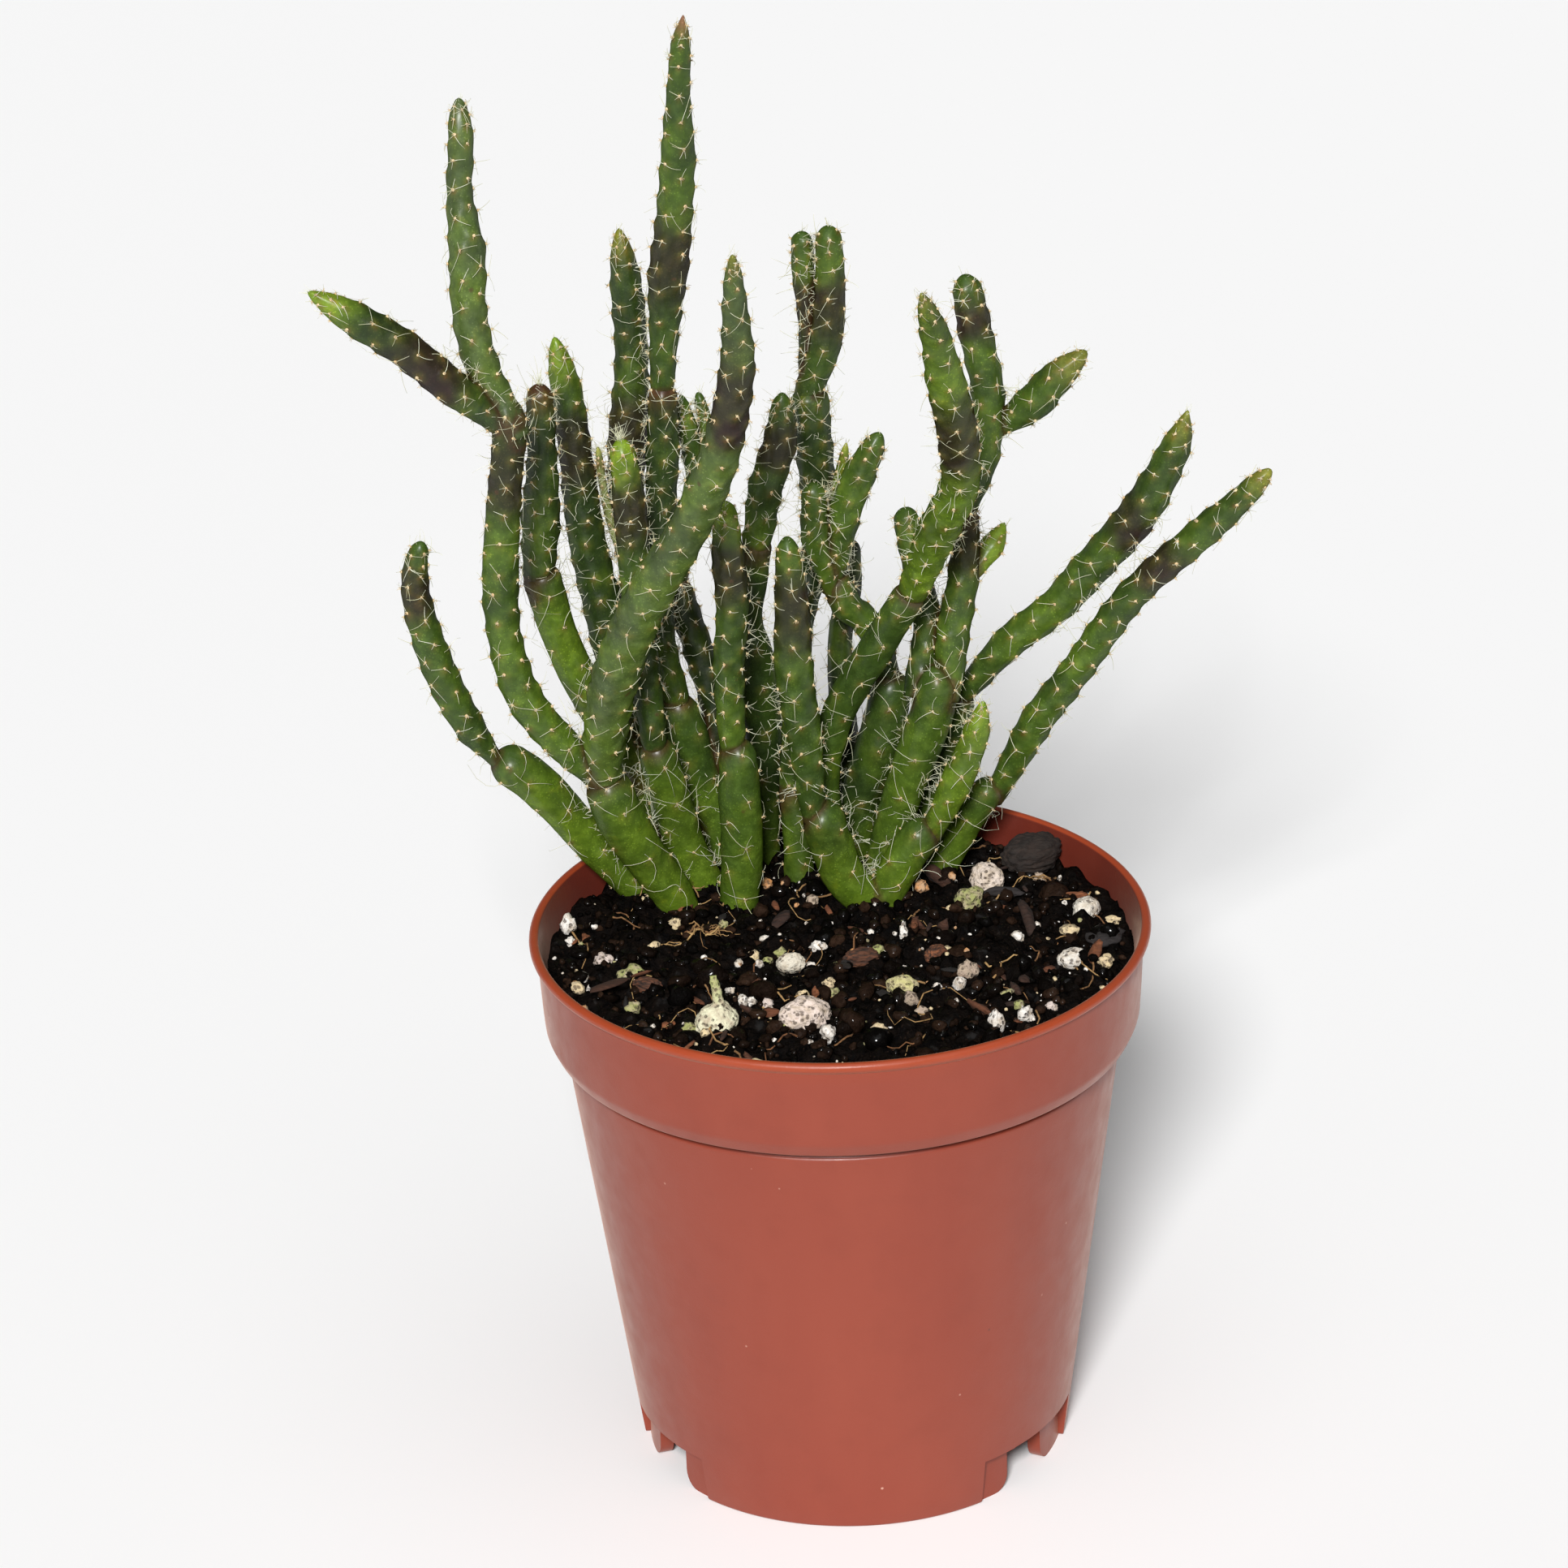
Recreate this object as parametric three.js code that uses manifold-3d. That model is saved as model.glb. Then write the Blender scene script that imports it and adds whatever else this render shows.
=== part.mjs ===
// A young mistletoe cactus, a clump of jointed bristly stems, in its 5.5 cm round nursery pot.
// Millimetres, +Z up. Sizes are worked out about the pot's axis, with the pot standing on z = 0
// and its front at -Y. The whole part is then moved so that its origin is the centre of the base
// of its bounding box.
import * as THREE from 'three';
import { mergeVertices } from 'three/addons/utils/BufferGeometryUtils.js';
import Module from 'manifold-3d';

const wasm = await Module();
wasm.setup();

// ---------------------------------------------------------------- driving dimensions

const GAP = 0.3; // between pieces that touch

const POT = {
  sides: 44,
  lipRadius: 27.05, // centre of the rolled lip's bead
  lipBead: 0.45,
  lipTop: 50.5,
  collarTop: [26.85, 49.3], // [radius, height]
  collarLow: [26.55, 44],
  collarFoot: [26.4, 42.1],
  collarTuck: [25.8, 40.85],
  seam: [24.75, 40.2],
  wallFoot: [19.9, 5], // a point on the wall's straight run from the seam to the table
  footRadius: 19.2,
  footInner: 17.5,
  wall: 0.8,
  innerStep: [25.3, 42.7], // where the inside widens into the collar
  floorUnder: 4.4,
  floorTop: 5.2,
};
// The cuts in the foot and the floor: spans in degrees from the front, the radii they run
// between and how high they reach. The foot steps in beside each notch.
const FEET = {
  notch: { spans: [[-71, -55], [45.5, 61.5], [167, 183]], inner: 17, outer: 24, top: 4.55 },
  step: { spans: [[-86, -44.5], [35, 77], [154, 196]], inner: 18.75, outer: 24, top: 4.5 },
  drain: { spans: [[-71, -55], [45.5, 61.5], [167, 183]], inner: 14.4, outer: 17.2, top: 6 },
  arcSteps: 4,
  cutBelow: 1,
};

const SOIL = {
  sectors: 28,
  rings: 7,
  level: 47.9,
  floor: 5.5,
  edgeDrop: 0.5,
  highest: 48.9, // at the pot's wall
  clods: [[0.35, 1.1, 0.7, 0], [0.3, 0.8, -1.3, 2]], // rise, waves along x and y, phase
  crumbs: [[0.2, 2.3, 1.9, 1], [1, -0.6, 1.7, Math.PI / 2]], // the same, one times the other
  mound: { rise: 0.5, middle: [-4, 14], spread: 90 },
  holeGap: 0.4, // round each stem's foot
  lumpGap: 0.38,
};

const STEM = {
  sides: 6,
  ringStep: 2.4,
  footHeight: 44, // the stems' rooted ends stand this high over the pot's base
  sink: 1.9, // how far a segment's base reaches into the segment that bears it
  podarium: 0.1, // an areole's rise, as a share of the stem's radius
  oldPodarium: 0.04, // the same on the old, smooth segments at the soil
  roundTip: 1.0, // length of a closed tip, as a share of the stem's radius
  pointTip: 2.6,
  tipRings: [0.5, 0.16], // the last rings, as shares of the tip's length from its point
  coreStep: 0.8, // between the points that stand for a stem in a test of clearance
};

const SPINE = {
  every: 8, // one areole in so many bears a modelled bristle
  short: 1.6,
  long: 3.0,
  lean: [-0.1, 0.6], // tilt along the stem, as a share of the reach out
  sweep: 0.45, // the most that it turns to either side
  thinnest: 0.35, // radius of the thinnest stem that bears one
  root: 0.15, // radius at the areole
  sunk: 0.6,
  clear: 0.45, // from any other stem, at the widest of its areoles
  widest: 1.12, // a stem's radius there, as a share of the plain one
  clearSpine: 0.65, // from another stem's bristle
  clearSoil: 0.6,
  clearRim: 3, // inside the pot's lip, and half as much over it
  tests: 5, // points along a bristle that are tested
  seed: 20,
};

// ---------------------------------------------------------------- the stems' routes

// Each stem is a list of jointed segments: its name, the form of its tip, and the points that
// its middle runs through, as [x, y, z, radius]. A segment that starts below SOIL_LINE is rooted.
const SOIL_LINE = 50;
const STEMS = {
  far_left: [
    ['low', 'round', [[-18, 13.5, 47.5, 1.7], [-21.9, 12, 53.2, 1.7], [-26, 10.5, 59.5, 1.95],
      [-29.9, 9, 63.7, 1.9]]],
    ['upper', 'round', [[-30.5, 9, 64, 0.8], [-32, 8.5, 66.5, 1.4], [-34.5, 7.5, 73, 1.5],
      [-36, 7, 79.5, 1.3], [-36, 6.5, 83, 1.1], [-35.3, 6, 85.8, 0.7]]],
  ],
  front_left: [
    ['low', 'round', [[-14.5, 10, 48, 1.8], [-17, 9, 53, 2], [-19.1, 8, 57.5, 2.25],
      [-20.5, 7, 62.5, 2.05]]],
    ['leaning', 'point', [[-20.5, 7, 62.5, 1.6], [-20, 5, 68, 2], [-18.5, 2.5, 75, 2.1],
      [-15.6, -1, 83, 2.05], [-11.8, -4, 90.5, 1.75], [-9.7, -6.3, 96, 1.85], [-8.5, -8, 100, 1.7],
      [-7, -11.5, 108.5, 1.5], [-7, -14, 114.5, 1.1], [-7, -16, 120, 0.5]]],
    ['left', 'round', [[-21, 7, 62.5, 1.4], [-23.9, 6.5, 65.7, 1.55], [-27.1, 6, 70.7, 1.65],
      [-28.5, 5.5, 77, 1.5], [-28.5, 5, 83.5, 1.65], [-27.8, 4.5, 90.5, 1.5], [-26.7, 4, 99, 1.4]]],
    ['rising', 'point', [[-27, 4, 98, 1.3], [-29, 5, 102, 1.5], [-30, 5.5, 107, 1.5],
      [-30, 6.5, 112.5, 1.6], [-30.4, 7.5, 117.5, 1.1], [-30.1, 8, 121.5, 1.1],
      [-30.1, 9, 125.5, 0.85]]],
    ['reaching', 'point', [[-28, 4, 98, 1.3], [-31.5, 3.5, 101, 1.6], [-35.5, 3, 105, 1.6],
      [-39.5, 2.5, 108.1, 1.5], [-43.5, 2, 111, 0.7]]],
  ],
  second_left: [
    ['low', 'round', [[-11.5, 14, 46, 1.9], [-13.5, 13.5, 51.5, 1.9], [-15, 12.5, 58.5, 1.8],
      [-16, 11.5, 63.5, 1.7]]],
    ['upper', 'round', [[-16, 11.5, 64, 1.2], [-16.5, 11.5, 70, 1.4], [-17, 11, 79.5, 1.4],
      [-17.2, 10.5, 87, 1.5], [-17.7, 10.5, 93, 1]]],
  ],
  front_centre: [
    ['low', 'round', [[-9, 9.5, 47, 1.7], [-8.5, 9, 53.5, 1.9], [-8.5, 8.5, 59, 1.9],
      [-8.5, 8, 65, 1.6]]],
    ['upper', 'round', [[-9, 8, 65.5, 1.2], [-9, 7.5, 72.5, 1.4], [-8.5, 7, 78, 1.45],
      [-8.7, 6.5, 83.3, 1.5], [-8.8, 6, 88.7, 0.9]]],
  ],
  front_right: [
    ['low', 'round', [[3, 9.5, 47.5, 1.8], [1, 9, 50, 1.9], [-0.5, 8.5, 54, 2],
      [-1.5, 8, 58.5, 1.8]]],
    ['upper', 'round', [[-2.1, 8, 58.5, 1.2], [-2.6, 8, 65, 1.6], [-3.3, 7.5, 72, 1.75],
      [-3.3, 7.5, 78.5, 1.55], [-3.5, 7.5, 84.5, 0.9]]],
    ['side', 'round', [[4, 9.5, 47.5, 1.7], [6, 9.5, 52, 1.8], [8.5, 9.5, 55.5, 1.7]]],
    ['sprout', 'point', [[9, 9.5, 55.5, 1.1], [10.9, 9.5, 59.5, 1.5], [12.7, 10, 64, 1.2],
      [13.4, 10, 67, 0.6]]],
  ],
  right_low: [
    ['low', 'round', [[9, 15.5, 47, 1.5], [11, 15.5, 51.5, 1.6], [13, 15, 55, 1.6],
      [15, 15, 56.5, 1.3]]],
    ['upper', 'point', [[15, 15, 56.5, 1.1], [18.2, 14, 63, 1.55], [21.5, 13.3, 67.8, 1.45],
      [26.9, 12, 76, 1.4], [33.5, 11, 82.5, 1.4], [36.3, 10.5, 85.3, 1.15], [39, 10, 88.3, 0.9]]],
  ],
  right_middle: [
    ['low', 'round', [[4, 14.5, 48, 1.6], [5, 14, 53, 1.7], [7, 13, 59.5, 1.9], [9, 12.5, 65.5, 2],
      [9.5, 12, 69.5, 1.6]]],
    ['middle', 'round', [[10.5, 12.5, 68, 1.2], [10.9, 13.5, 72, 1.55], [12, 14.5, 77.5, 1.4],
      [12.4, 16, 83.5, 1.05]]],
    ['top', 'round', [[12.4, 16, 83, 1], [14.2, 16.5, 88, 1.3], [14.6, 17.5, 93, 1.45],
      [13.5, 18.5, 99.5, 1.5], [12.8, 19, 104, 1.1]]],
    ['fork', 'point', [[16, 17.5, 90.5, 1.1], [18.6, 17, 92.5, 1.65], [20.5, 16.5, 94.9, 1.5],
      [23.3, 16, 97.6, 1]]],
    ['bud', 'point', [[13, 15, 77.5, 0.8], [14.6, 16, 79.3, 1.1], [15.8, 17, 81.1, 0.65]]],
    ['rear', 'round', [[7.8, 13.5, 68, 1.3], [8.5, 14.4, 71, 1.3], [8.7, 15, 73.5, 1.2],
      [8.1, 16, 76.2, 1.15], [7.4, 17, 79, 1.1], [7, 18, 82.5, 1.1]]],
  ],
  right_rear: [
    ['low', 'round', [[6.5, 19.5, 47.5, 1.6], [9, 18.5, 54.5, 1.5], [11.8, 17.5, 64.5, 1.3]]],
    ['upper', 'point', [[12.3, 17.5, 65, 1.1], [16, 17, 69.5, 1.5], [20.1, 16.5, 73, 1.6],
      [23.3, 16, 76.8, 1.75], [27.8, 15, 82.7, 1.8], [30.9, 14.5, 88.9, 1.35],
      [32, 14, 92.5, 0.5]]],
  ],
  leaning: [
    ['low', 'round', [[0.5, 14, 47, 1.3], [-0.3, 14, 53, 1.3], [-1, 13.6, 58, 1.4],
      [0.5, 12.6, 65, 1.5], [3.9, 10.5, 72, 1.6], [7.5, 8, 79, 1.5]]],
    ['upper', 'point', [[7.5, 8, 79, 1.4], [9.5, 4.5, 85.5, 1.8], [11.5, 1, 91.5, 1.7],
      [11.5, -2, 97, 1.8], [10.5, -6, 104, 1.7], [9.5, -9, 110, 1.2], [8.5, -12, 114.5, 0.4]]],
  ],
  centre_right: [
    ['low', 'round', [[1.5, 17.5, 48, 1.5], [2.3, 17.5, 54.5, 1.9], [4.3, 17, 60.5, 2.1],
      [5.6, 17, 67, 1.8]]],
    ['bend', 'round', [[5, 17, 67, 1.1], [3.5, 17, 71.5, 1.3], [1.5, 16.5, 74, 1.4],
      [0.5, 16.5, 77, 1.2]]],
    ['right', 'round', [[0.5, 16.5, 77, 1.1], [1.5, 16, 82.5, 1.5], [3, 16, 86.5, 1.5],
      [5, 15.5, 90.7, 0.8]]],
    ['left', 'round', [[0, 16, 77, 1], [-1, 15.5, 81, 1.3], [-1, 14.5, 86.5, 1]]],
  ],
  centre: [
    ['low', 'round', [[-3.5, 14.5, 47, 1.4], [-3.5, 15, 52.5, 1.4], [-4, 15.5, 57.5, 1.2]]],
    ['trunk', 'round', [[-3.9, 15.4, 57, 1.2], [-3.3, 15.5, 63, 1.3], [-3.2, 16.3, 67.5, 1.3],
      [-2.6, 18.3, 72, 1.3], [-1.5, 20, 75.5, 1.3], [-0.7, 21, 79.5, 1.35], [-0.7, 21.3, 84, 1.6],
      [-0.9, 21.5, 88, 1.65], [-1.2, 21.5, 93, 1.65]]],
    ['top', 'round', [[-1, 21.5, 93, 1.3], [0.4, 21.5, 97, 1.5], [1, 21.5, 102.5, 1.4],
      [1, 21.5, 108, 1.1]]],
    ['twin', 'round', [[-1.5, 21.5, 93, 0.6], [-1.2, 22, 98.5, 0.7], [-1.3, 22.5, 103, 1],
      [-1.35, 23, 107, 0.95]]],
    ['bud', 'point', [[0, 20.5, 80.5, 0.5], [1.5, 20, 85.5, 0.5], [2, 20, 88, 0.3]]],
  ],
  centre_rear: [
    ['low', 'round', [[-6.5, 19.5, 47.5, 1.3], [-6.5, 19.5, 53.5, 1.5], [-6.3, 19, 60, 1.75],
      [-6.5, 18.2, 66, 1.85], [-7, 17.5, 69.5, 1.7], [-7.4, 17, 72.5, 1.4],
      [-6.7, 16.5, 76.5, 1.25], [-6.1, 16, 81, 1.35]]],
    ['upper', 'round', [[-6.1, 16, 81, 1.35], [-5.2, 15.5, 86, 1.55], [-3.8, 15.5, 90.5, 1.5],
      [-3.5, 15, 95, 0.7]]],
  ],
  dark_rear: [
    ['low', 'round', [[2.5, 21.5, 47.5, 1.3], [1.3, 21.8, 56, 1.3], [0.8, 22, 64, 1.15],
      [0.95, 22.3, 68.5, 1.1], [1.8, 22.7, 72.5, 1.15], [2, 22.8, 77.5, 1]]],
  ],
  tallest: [
    ['low', 'round', [[-10, 18.5, 48, 1.5], [-11.7, 18, 55, 1.8], [-13.4, 17.5, 62, 2],
      [-14.3, 17, 65.5, 1.5]]],
    ['middle', 'round', [[-14, 17, 65.5, 1.2], [-15, 17, 70.5, 1.2], [-15, 17, 77.5, 1.4],
      [-14.6, 17.5, 84, 1.4], [-14.2, 17.5, 89.5, 1.5], [-14, 17.5, 95.5, 1.2]]],
    ['top', 'point', [[-14, 17.5, 95.5, 1.1], [-13.6, 17, 101, 1.35], [-13.15, 16.5, 105.5, 1.75],
      [-12.4, 16, 111, 1.6], [-11.75, 15.5, 117.5, 1.5], [-11.5, 15, 123, 1.05],
      [-11.15, 14.5, 127.5, 0.9], [-10.8, 14, 130.5, 0.3]]],
    ['rear', 'round', [[-11.6, 18.2, 54, 1.2], [-10.5, 18.9, 62.5, 1.3], [-11.3, 19.5, 66.6, 1.4],
      [-12.1, 20, 69.3, 1.35], [-12.9, 20.5, 72, 1.3], [-13.6, 21, 75, 1.1]]],
    ['rear_upper', 'round', [[-13.6, 21, 74.5, 0.9], [-12.8, 21, 78, 1], [-11.7, 21, 81.5, 1],
      [-11, 21, 85, 0.9]]],
    ['fork_left', 'round', [[-11.5, 21, 84.5, 0.8], [-12, 20.5, 89.5, 0.9],
      [-12.5, 20.5, 92.9, 0.4]]],
    ['fork_right', 'round', [[-11, 21, 84.5, 0.7], [-10.5, 21.5, 89.5, 0.7], [-11, 22, 92.5, 0.4]]],
  ],
  rear_left: [
    ['low', 'round', [[-14.5, 17.5, 48, 1.5], [-16, 17.5, 53.5, 1.5], [-18.3, 17, 59.5, 1.6],
      [-21.1, 16.5, 64.5, 1.7], [-23.8, 15.5, 71.5, 1.6], [-25.6, 14.5, 79.5, 1.75]]],
    ['upper', 'round', [[-25.6, 14.5, 79, 1.4], [-25.2, 14.5, 84, 1.75], [-24.8, 14, 89.5, 1.35],
      [-24.7, 14, 97, 1.1]]],
    ['second', 'point', [[-18, 17, 59, 1.3], [-19, 18, 65.5, 1.55], [-20, 18.5, 72, 1.75],
      [-21.4, 19, 80.5, 1.7], [-22, 19.5, 88, 1.5], [-22.6, 20, 94, 1.4], [-23.4, 20, 99, 0.8]]],
    ['third', 'round', [[-16, 17.5, 53, 1.2], [-17, 20.5, 60.5, 1.3], [-17.5, 21, 68, 1.4],
      [-17.5, 21, 76, 1.3]]],
    ['third_upper', 'point', [[-17.3, 21, 75, 1.2], [-17.8, 21, 82.5, 1.55],
      [-17.4, 20.5, 88.5, 1.8], [-16.7, 20.5, 96.5, 1.5], [-16.9, 20, 104, 1.4],
      [-17.3, 20, 109, 0.7]]],
    ['bud', 'point', [[-18.5, 20.5, 78, 0.4], [-19.5, 19.5, 83, 0.4], [-20, 18.5, 89, 0.3]]],
  ],
  rear_short: [
    ['low', 'round', [[-3, 21.5, 48, 1.5], [-3, 22.5, 54.5, 1.5], [-3.5, 23, 60, 1.3]]],
  ],
};

// Lumps that lie half sunk in the soil: [x, y, z], [half sizes], turn in degrees, colour.
const LUMPS = {
  perlite_front: [[-3.3, -14.2, 48.6], [2.5, 1.9, 1.7], 20, 'perlite'],
  perlite_left: [[-10.9, -14.3, 48.4], [1.9, 2.2, 1.8], -35, 'perlite'],
  perlite_right: [[20.5, -4, 48.2], [1.5, 1.1, 1], 10, 'perlite'],
  perlite_rear: [[13.4, 11.2, 48.8], [1.5, 1.7, 1.6], 40, 'perlite'],
  perlite_middle: [[5.3, -8.7, 48.3], [1.5, 1.1, 1.1], -15, 'perlite'],
  perlite_inner: [[-4.4, -3.3, 48.3], [1.4, 1, 1], 5, 'perlite'],
  perlite_edge: [[22, 5.5, 48.3], [1.7, 1.3, 1.1], 70, 'perlite'],
  bark_rear: [[17.5, 15.2, 49.2], [3.2, 2.3, 2], 35, 'bark'],
  bark_centre: [[1.8, -2.7, 48.3], [1.8, 1, 0.9], 15, 'bark'],
  bark_left: [[-17, -6.8, 48.3], [1.4, 0.9, 0.8], -25, 'bark'],
  bark_right: [[8.4, -2.2, 48.2], [1.3, 0.9, 0.8], 55, 'bark'],
};

const LUMP_SWELL = [0.84, 1.04]; // a lump's roughness, as shares of its half size

// ---------------------------------------------------------------- solids and joins

function toSolid(geometry) {
  const bare = geometry.clone();
  bare.deleteAttribute('normal');
  bare.deleteAttribute('uv');
  const merged = mergeVertices(bare);
  const mesh = new wasm.Mesh({
    numProp: 3,
    vertProperties: new Float32Array(merged.attributes.position.array),
    triVerts: new Uint32Array(merged.index.array),
  });
  return new wasm.Manifold(mesh);
}

function toGeometry(solid) {
  const mesh = solid.getMesh();
  const geometry = new THREE.BufferGeometry();
  geometry.setAttribute('position', new THREE.BufferAttribute(mesh.vertProperties, 3));
  geometry.setIndex(new THREE.BufferAttribute(mesh.triVerts, 1));
  geometry.computeVertexNormals();
  return geometry;
}

function join(solids) {
  return solids.reduce((whole, solid) => whole.add(solid));
}

function indexed(vertices, triangles) {
  const geometry = new THREE.BufferGeometry();
  const flat = vertices.flatMap((v) => [v.x, v.y, v.z]);
  geometry.setAttribute('position', new THREE.BufferAttribute(new Float32Array(flat), 3));
  geometry.setIndex(triangles.flat());
  return geometry;
}

// A seeded stream of numbers from 0 to 1.
function randomStream(seed) {
  let state = seed;
  return () => {
    state = (state + 0x6d2b79f5) | 0;
    let mixed = Math.imul(state ^ (state >>> 15), 1 | state);
    mixed = (mixed + Math.imul(mixed ^ (mixed >>> 7), 61 | mixed)) ^ mixed;
    return ((mixed ^ (mixed >>> 14)) >>> 0) / 4294967296;
  };
}

// ---------------------------------------------------------------- the pot

function arcPoints(centreRadius, centreHeight, radius, from, to, steps) {
  const points = [];
  for (let i = 0; i <= steps; i += 1) {
    const angle = THREE.MathUtils.degToRad(from + ((to - from) * i) / steps);
    points.push([centreRadius + radius * Math.cos(angle), centreHeight + radius * Math.sin(angle)]);
  }
  return points;
}

function innerRadius(height) {
  const inner = [
    [POT.floorTop, POT.wallFoot[0] - POT.wall],
    [POT.seam[1], POT.seam[0] - POT.wall],
    [POT.innerStep[1], POT.innerStep[0]],
    [POT.lipTop, POT.lipRadius - POT.lipBead],
  ];
  const next = Math.max(1, inner.findIndex(([z]) => z >= height));
  const [z1, r1] = inner[next];
  const [z0, r0] = inner[next - 1];
  return r0 + ((r1 - r0) * (height - z0)) / (z1 - z0);
}

// A block that cuts the foot over a span, between two radii and up to a height.
function cutBlock([from, to], { inner, outer, top }) {
  const corner = (radius, azimuth) => {
    const a = THREE.MathUtils.degToRad(azimuth);
    return new THREE.Vector2(radius * Math.sin(a), -radius * Math.cos(a));
  };
  const corners = [];
  for (let i = 0; i <= FEET.arcSteps; i += 1) {
    corners.push(corner(inner, THREE.MathUtils.lerp(from, to, i / FEET.arcSteps)));
  }
  corners.push(corner(outer, to), corner(outer, from));
  const depth = top + FEET.cutBelow;
  const shape = new THREE.Shape(corners);
  const geometry = new THREE.ExtrudeGeometry(shape, { depth, bevelEnabled: false });
  geometry.translate(0, 0, -FEET.cutBelow);
  return toSolid(geometry);
}

function potGeometry() {
  const beadHeight = POT.lipTop - POT.lipBead;
  const profile = [
    [0, POT.floorUnder],
    [POT.footInner, POT.floorUnder],
    [POT.footInner, 0],
    [POT.footRadius, 0],
    POT.seam,
    POT.collarTuck,
    POT.collarFoot,
    POT.collarLow,
    POT.collarTop,
    ...arcPoints(POT.lipRadius, beadHeight, POT.lipBead, -45, 180, 5),
    POT.innerStep,
    [innerRadius(POT.seam[1]), POT.seam[1]],
    [innerRadius(POT.floorTop), POT.floorTop],
    [0, POT.floorTop],
  ];
  const lathe = new THREE.LatheGeometry(profile.map(([r, z]) => new THREE.Vector2(r, z)), POT.sides);
  lathe.rotateX(Math.PI / 2); // the lathe turns about +Y, and the pot stands along +Z
  let solid = toSolid(lathe);
  [FEET.notch, FEET.step, FEET.drain].forEach((cut) => {
    cut.spans.forEach((span) => {
      solid = solid.subtract(cutBlock(span, cut));
    });
  });
  return toGeometry(solid);
}

// ---------------------------------------------------------------- the stems

function stemCurve(segment) {
  const [, , points] = segment;
  const centres = points.map(([x, y, z]) => new THREE.Vector3(x, y, z));
  const radii = points.map((point) => point[3]);
  const first = centres[0].clone();
  if (first.z < SOIL_LINE) {
    centres.unshift(new THREE.Vector3(first.x, first.y, STEM.footHeight));
    radii.unshift(radii[0] * 0.9);
  } else {
    const back = first.clone().sub(centres[1]).setLength(STEM.sink);
    centres.unshift(first.clone().add(back));
    radii.unshift(radii[0] * 0.85);
  }
  return { curve: new THREE.CatmullRomCurve3(centres), radii };
}

// The stem's middle as stations: arc length s from the base, centre, direction and radius.
function stemStations(segment, step) {
  const { curve, radii } = stemCurve(segment);
  const length = curve.getLength();
  const tipForm = segment[1] === 'round' ? STEM.roundTip : STEM.pointTip;
  const tip = Math.min(tipForm * radii[radii.length - 2], length / 2);
  const count = Math.max(3, Math.round((length - tip) / step));
  const marks = [];
  for (let i = 0; i <= count; i += 1) marks.push(((length - tip) * i) / count);
  marks.push(...STEM.tipRings.map((share) => length - tip * share));
  const stations = marks.map((s) => {
    const t = curve.getUtoTmapping(s / length);
    const place = t * (radii.length - 1);
    const index = Math.min(Math.floor(place), radii.length - 2);
    const radius = THREE.MathUtils.lerp(radii[index], radii[index + 1], place - index);
    const toTip = Math.min((length - s) / tip, 1);
    const closing = Math.sqrt(Math.max(1 - (1 - toTip) ** 2, 0));
    return { s, centre: curve.getPoint(t), along: curve.getTangent(t), radius: radius * closing };
  });
  return { stations, start: curve.getPoint(0), end: curve.getPoint(1) };
}

// Rings of points round the stem, raised at the areoles, which stand in quincunx.
function stemSegment(segment, { extra = 0, step = STEM.ringStep } = {}) {
  const { stations, start, end } = stemStations(segment, step);
  const rooted = segment[2][0][2] < SOIL_LINE;
  const rise = extra > 0 ? 0 : rooted ? STEM.oldPodarium : STEM.podarium;
  const firstAlong = stations[0].along.clone();
  const vertices = [start.clone().addScaledVector(firstAlong, -extra)];
  const areoles = [];
  let side = new THREE.Vector3(0, -1, 0);
  stations.forEach((station, ring) => {
    side = side.clone().addScaledVector(station.along, -side.dot(station.along)).normalize();
    const across = station.along.clone().cross(side);
    for (let i = 0; i < STEM.sides; i += 1) {
      const angle = (2 * Math.PI * i) / STEM.sides;
      const out = side.clone().multiplyScalar(Math.cos(angle));
      out.addScaledVector(across, Math.sin(angle));
      const raised = (ring + i) % 2 === 0;
      const radius = station.radius * (raised ? 1 + rise : 1 - rise / 2) + extra;
      const centre = station.centre.clone();
      if (ring === 0) centre.addScaledVector(firstAlong, -extra);
      vertices.push(centre.addScaledVector(out, radius));
      if (raised) areoles.push({ out, along: station.along, station, radius });
    }
  });
  const last = stations.length - 1;
  vertices.push(end.clone().addScaledVector(stations[last].along, extra));
  const triangles = [];
  const at = (ring, i) => 1 + ring * STEM.sides + (i % STEM.sides);
  for (let i = 0; i < STEM.sides; i += 1) {
    triangles.push([0, at(0, i + 1), at(0, i)]);
    triangles.push([vertices.length - 1, at(last, i), at(last, i + 1)]);
    for (let ring = 0; ring < last; ring += 1) {
      triangles.push([at(ring, i), at(ring, i + 1), at(ring + 1, i)]);
      triangles.push([at(ring, i + 1), at(ring + 1, i + 1), at(ring + 1, i)]);
    }
  }
  return { geometry: indexed(vertices, triangles), areoles };
}

function spineSolid(root, tip) {
  const along = tip.clone().sub(root).normalize();
  const side = new THREE.Vector3(along.y, -along.x, 0.1).cross(along).normalize();
  const across = along.clone().cross(side);
  const vertices = [0, 1, 2].map((i) => {
    const angle = (2 * Math.PI * i) / 3;
    const corner = root.clone().addScaledVector(side, SPINE.root * Math.cos(angle));
    return corner.addScaledVector(across, SPINE.root * Math.sin(angle));
  });
  vertices.push(tip);
  return toSolid(indexed(vertices, [[0, 2, 1], [0, 1, 3], [1, 2, 3], [2, 0, 3]]));
}

// The middle of every stem, to keep the bristles of one clear of the others.
const stemMiddles = Object.entries(STEMS).flatMap(([name, segments]) =>
  segments.flatMap((segment) =>
    stemStations(segment, STEM.coreStep).stations.map((station) => ({ name, ...station }))));
const setSpines = [];

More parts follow.
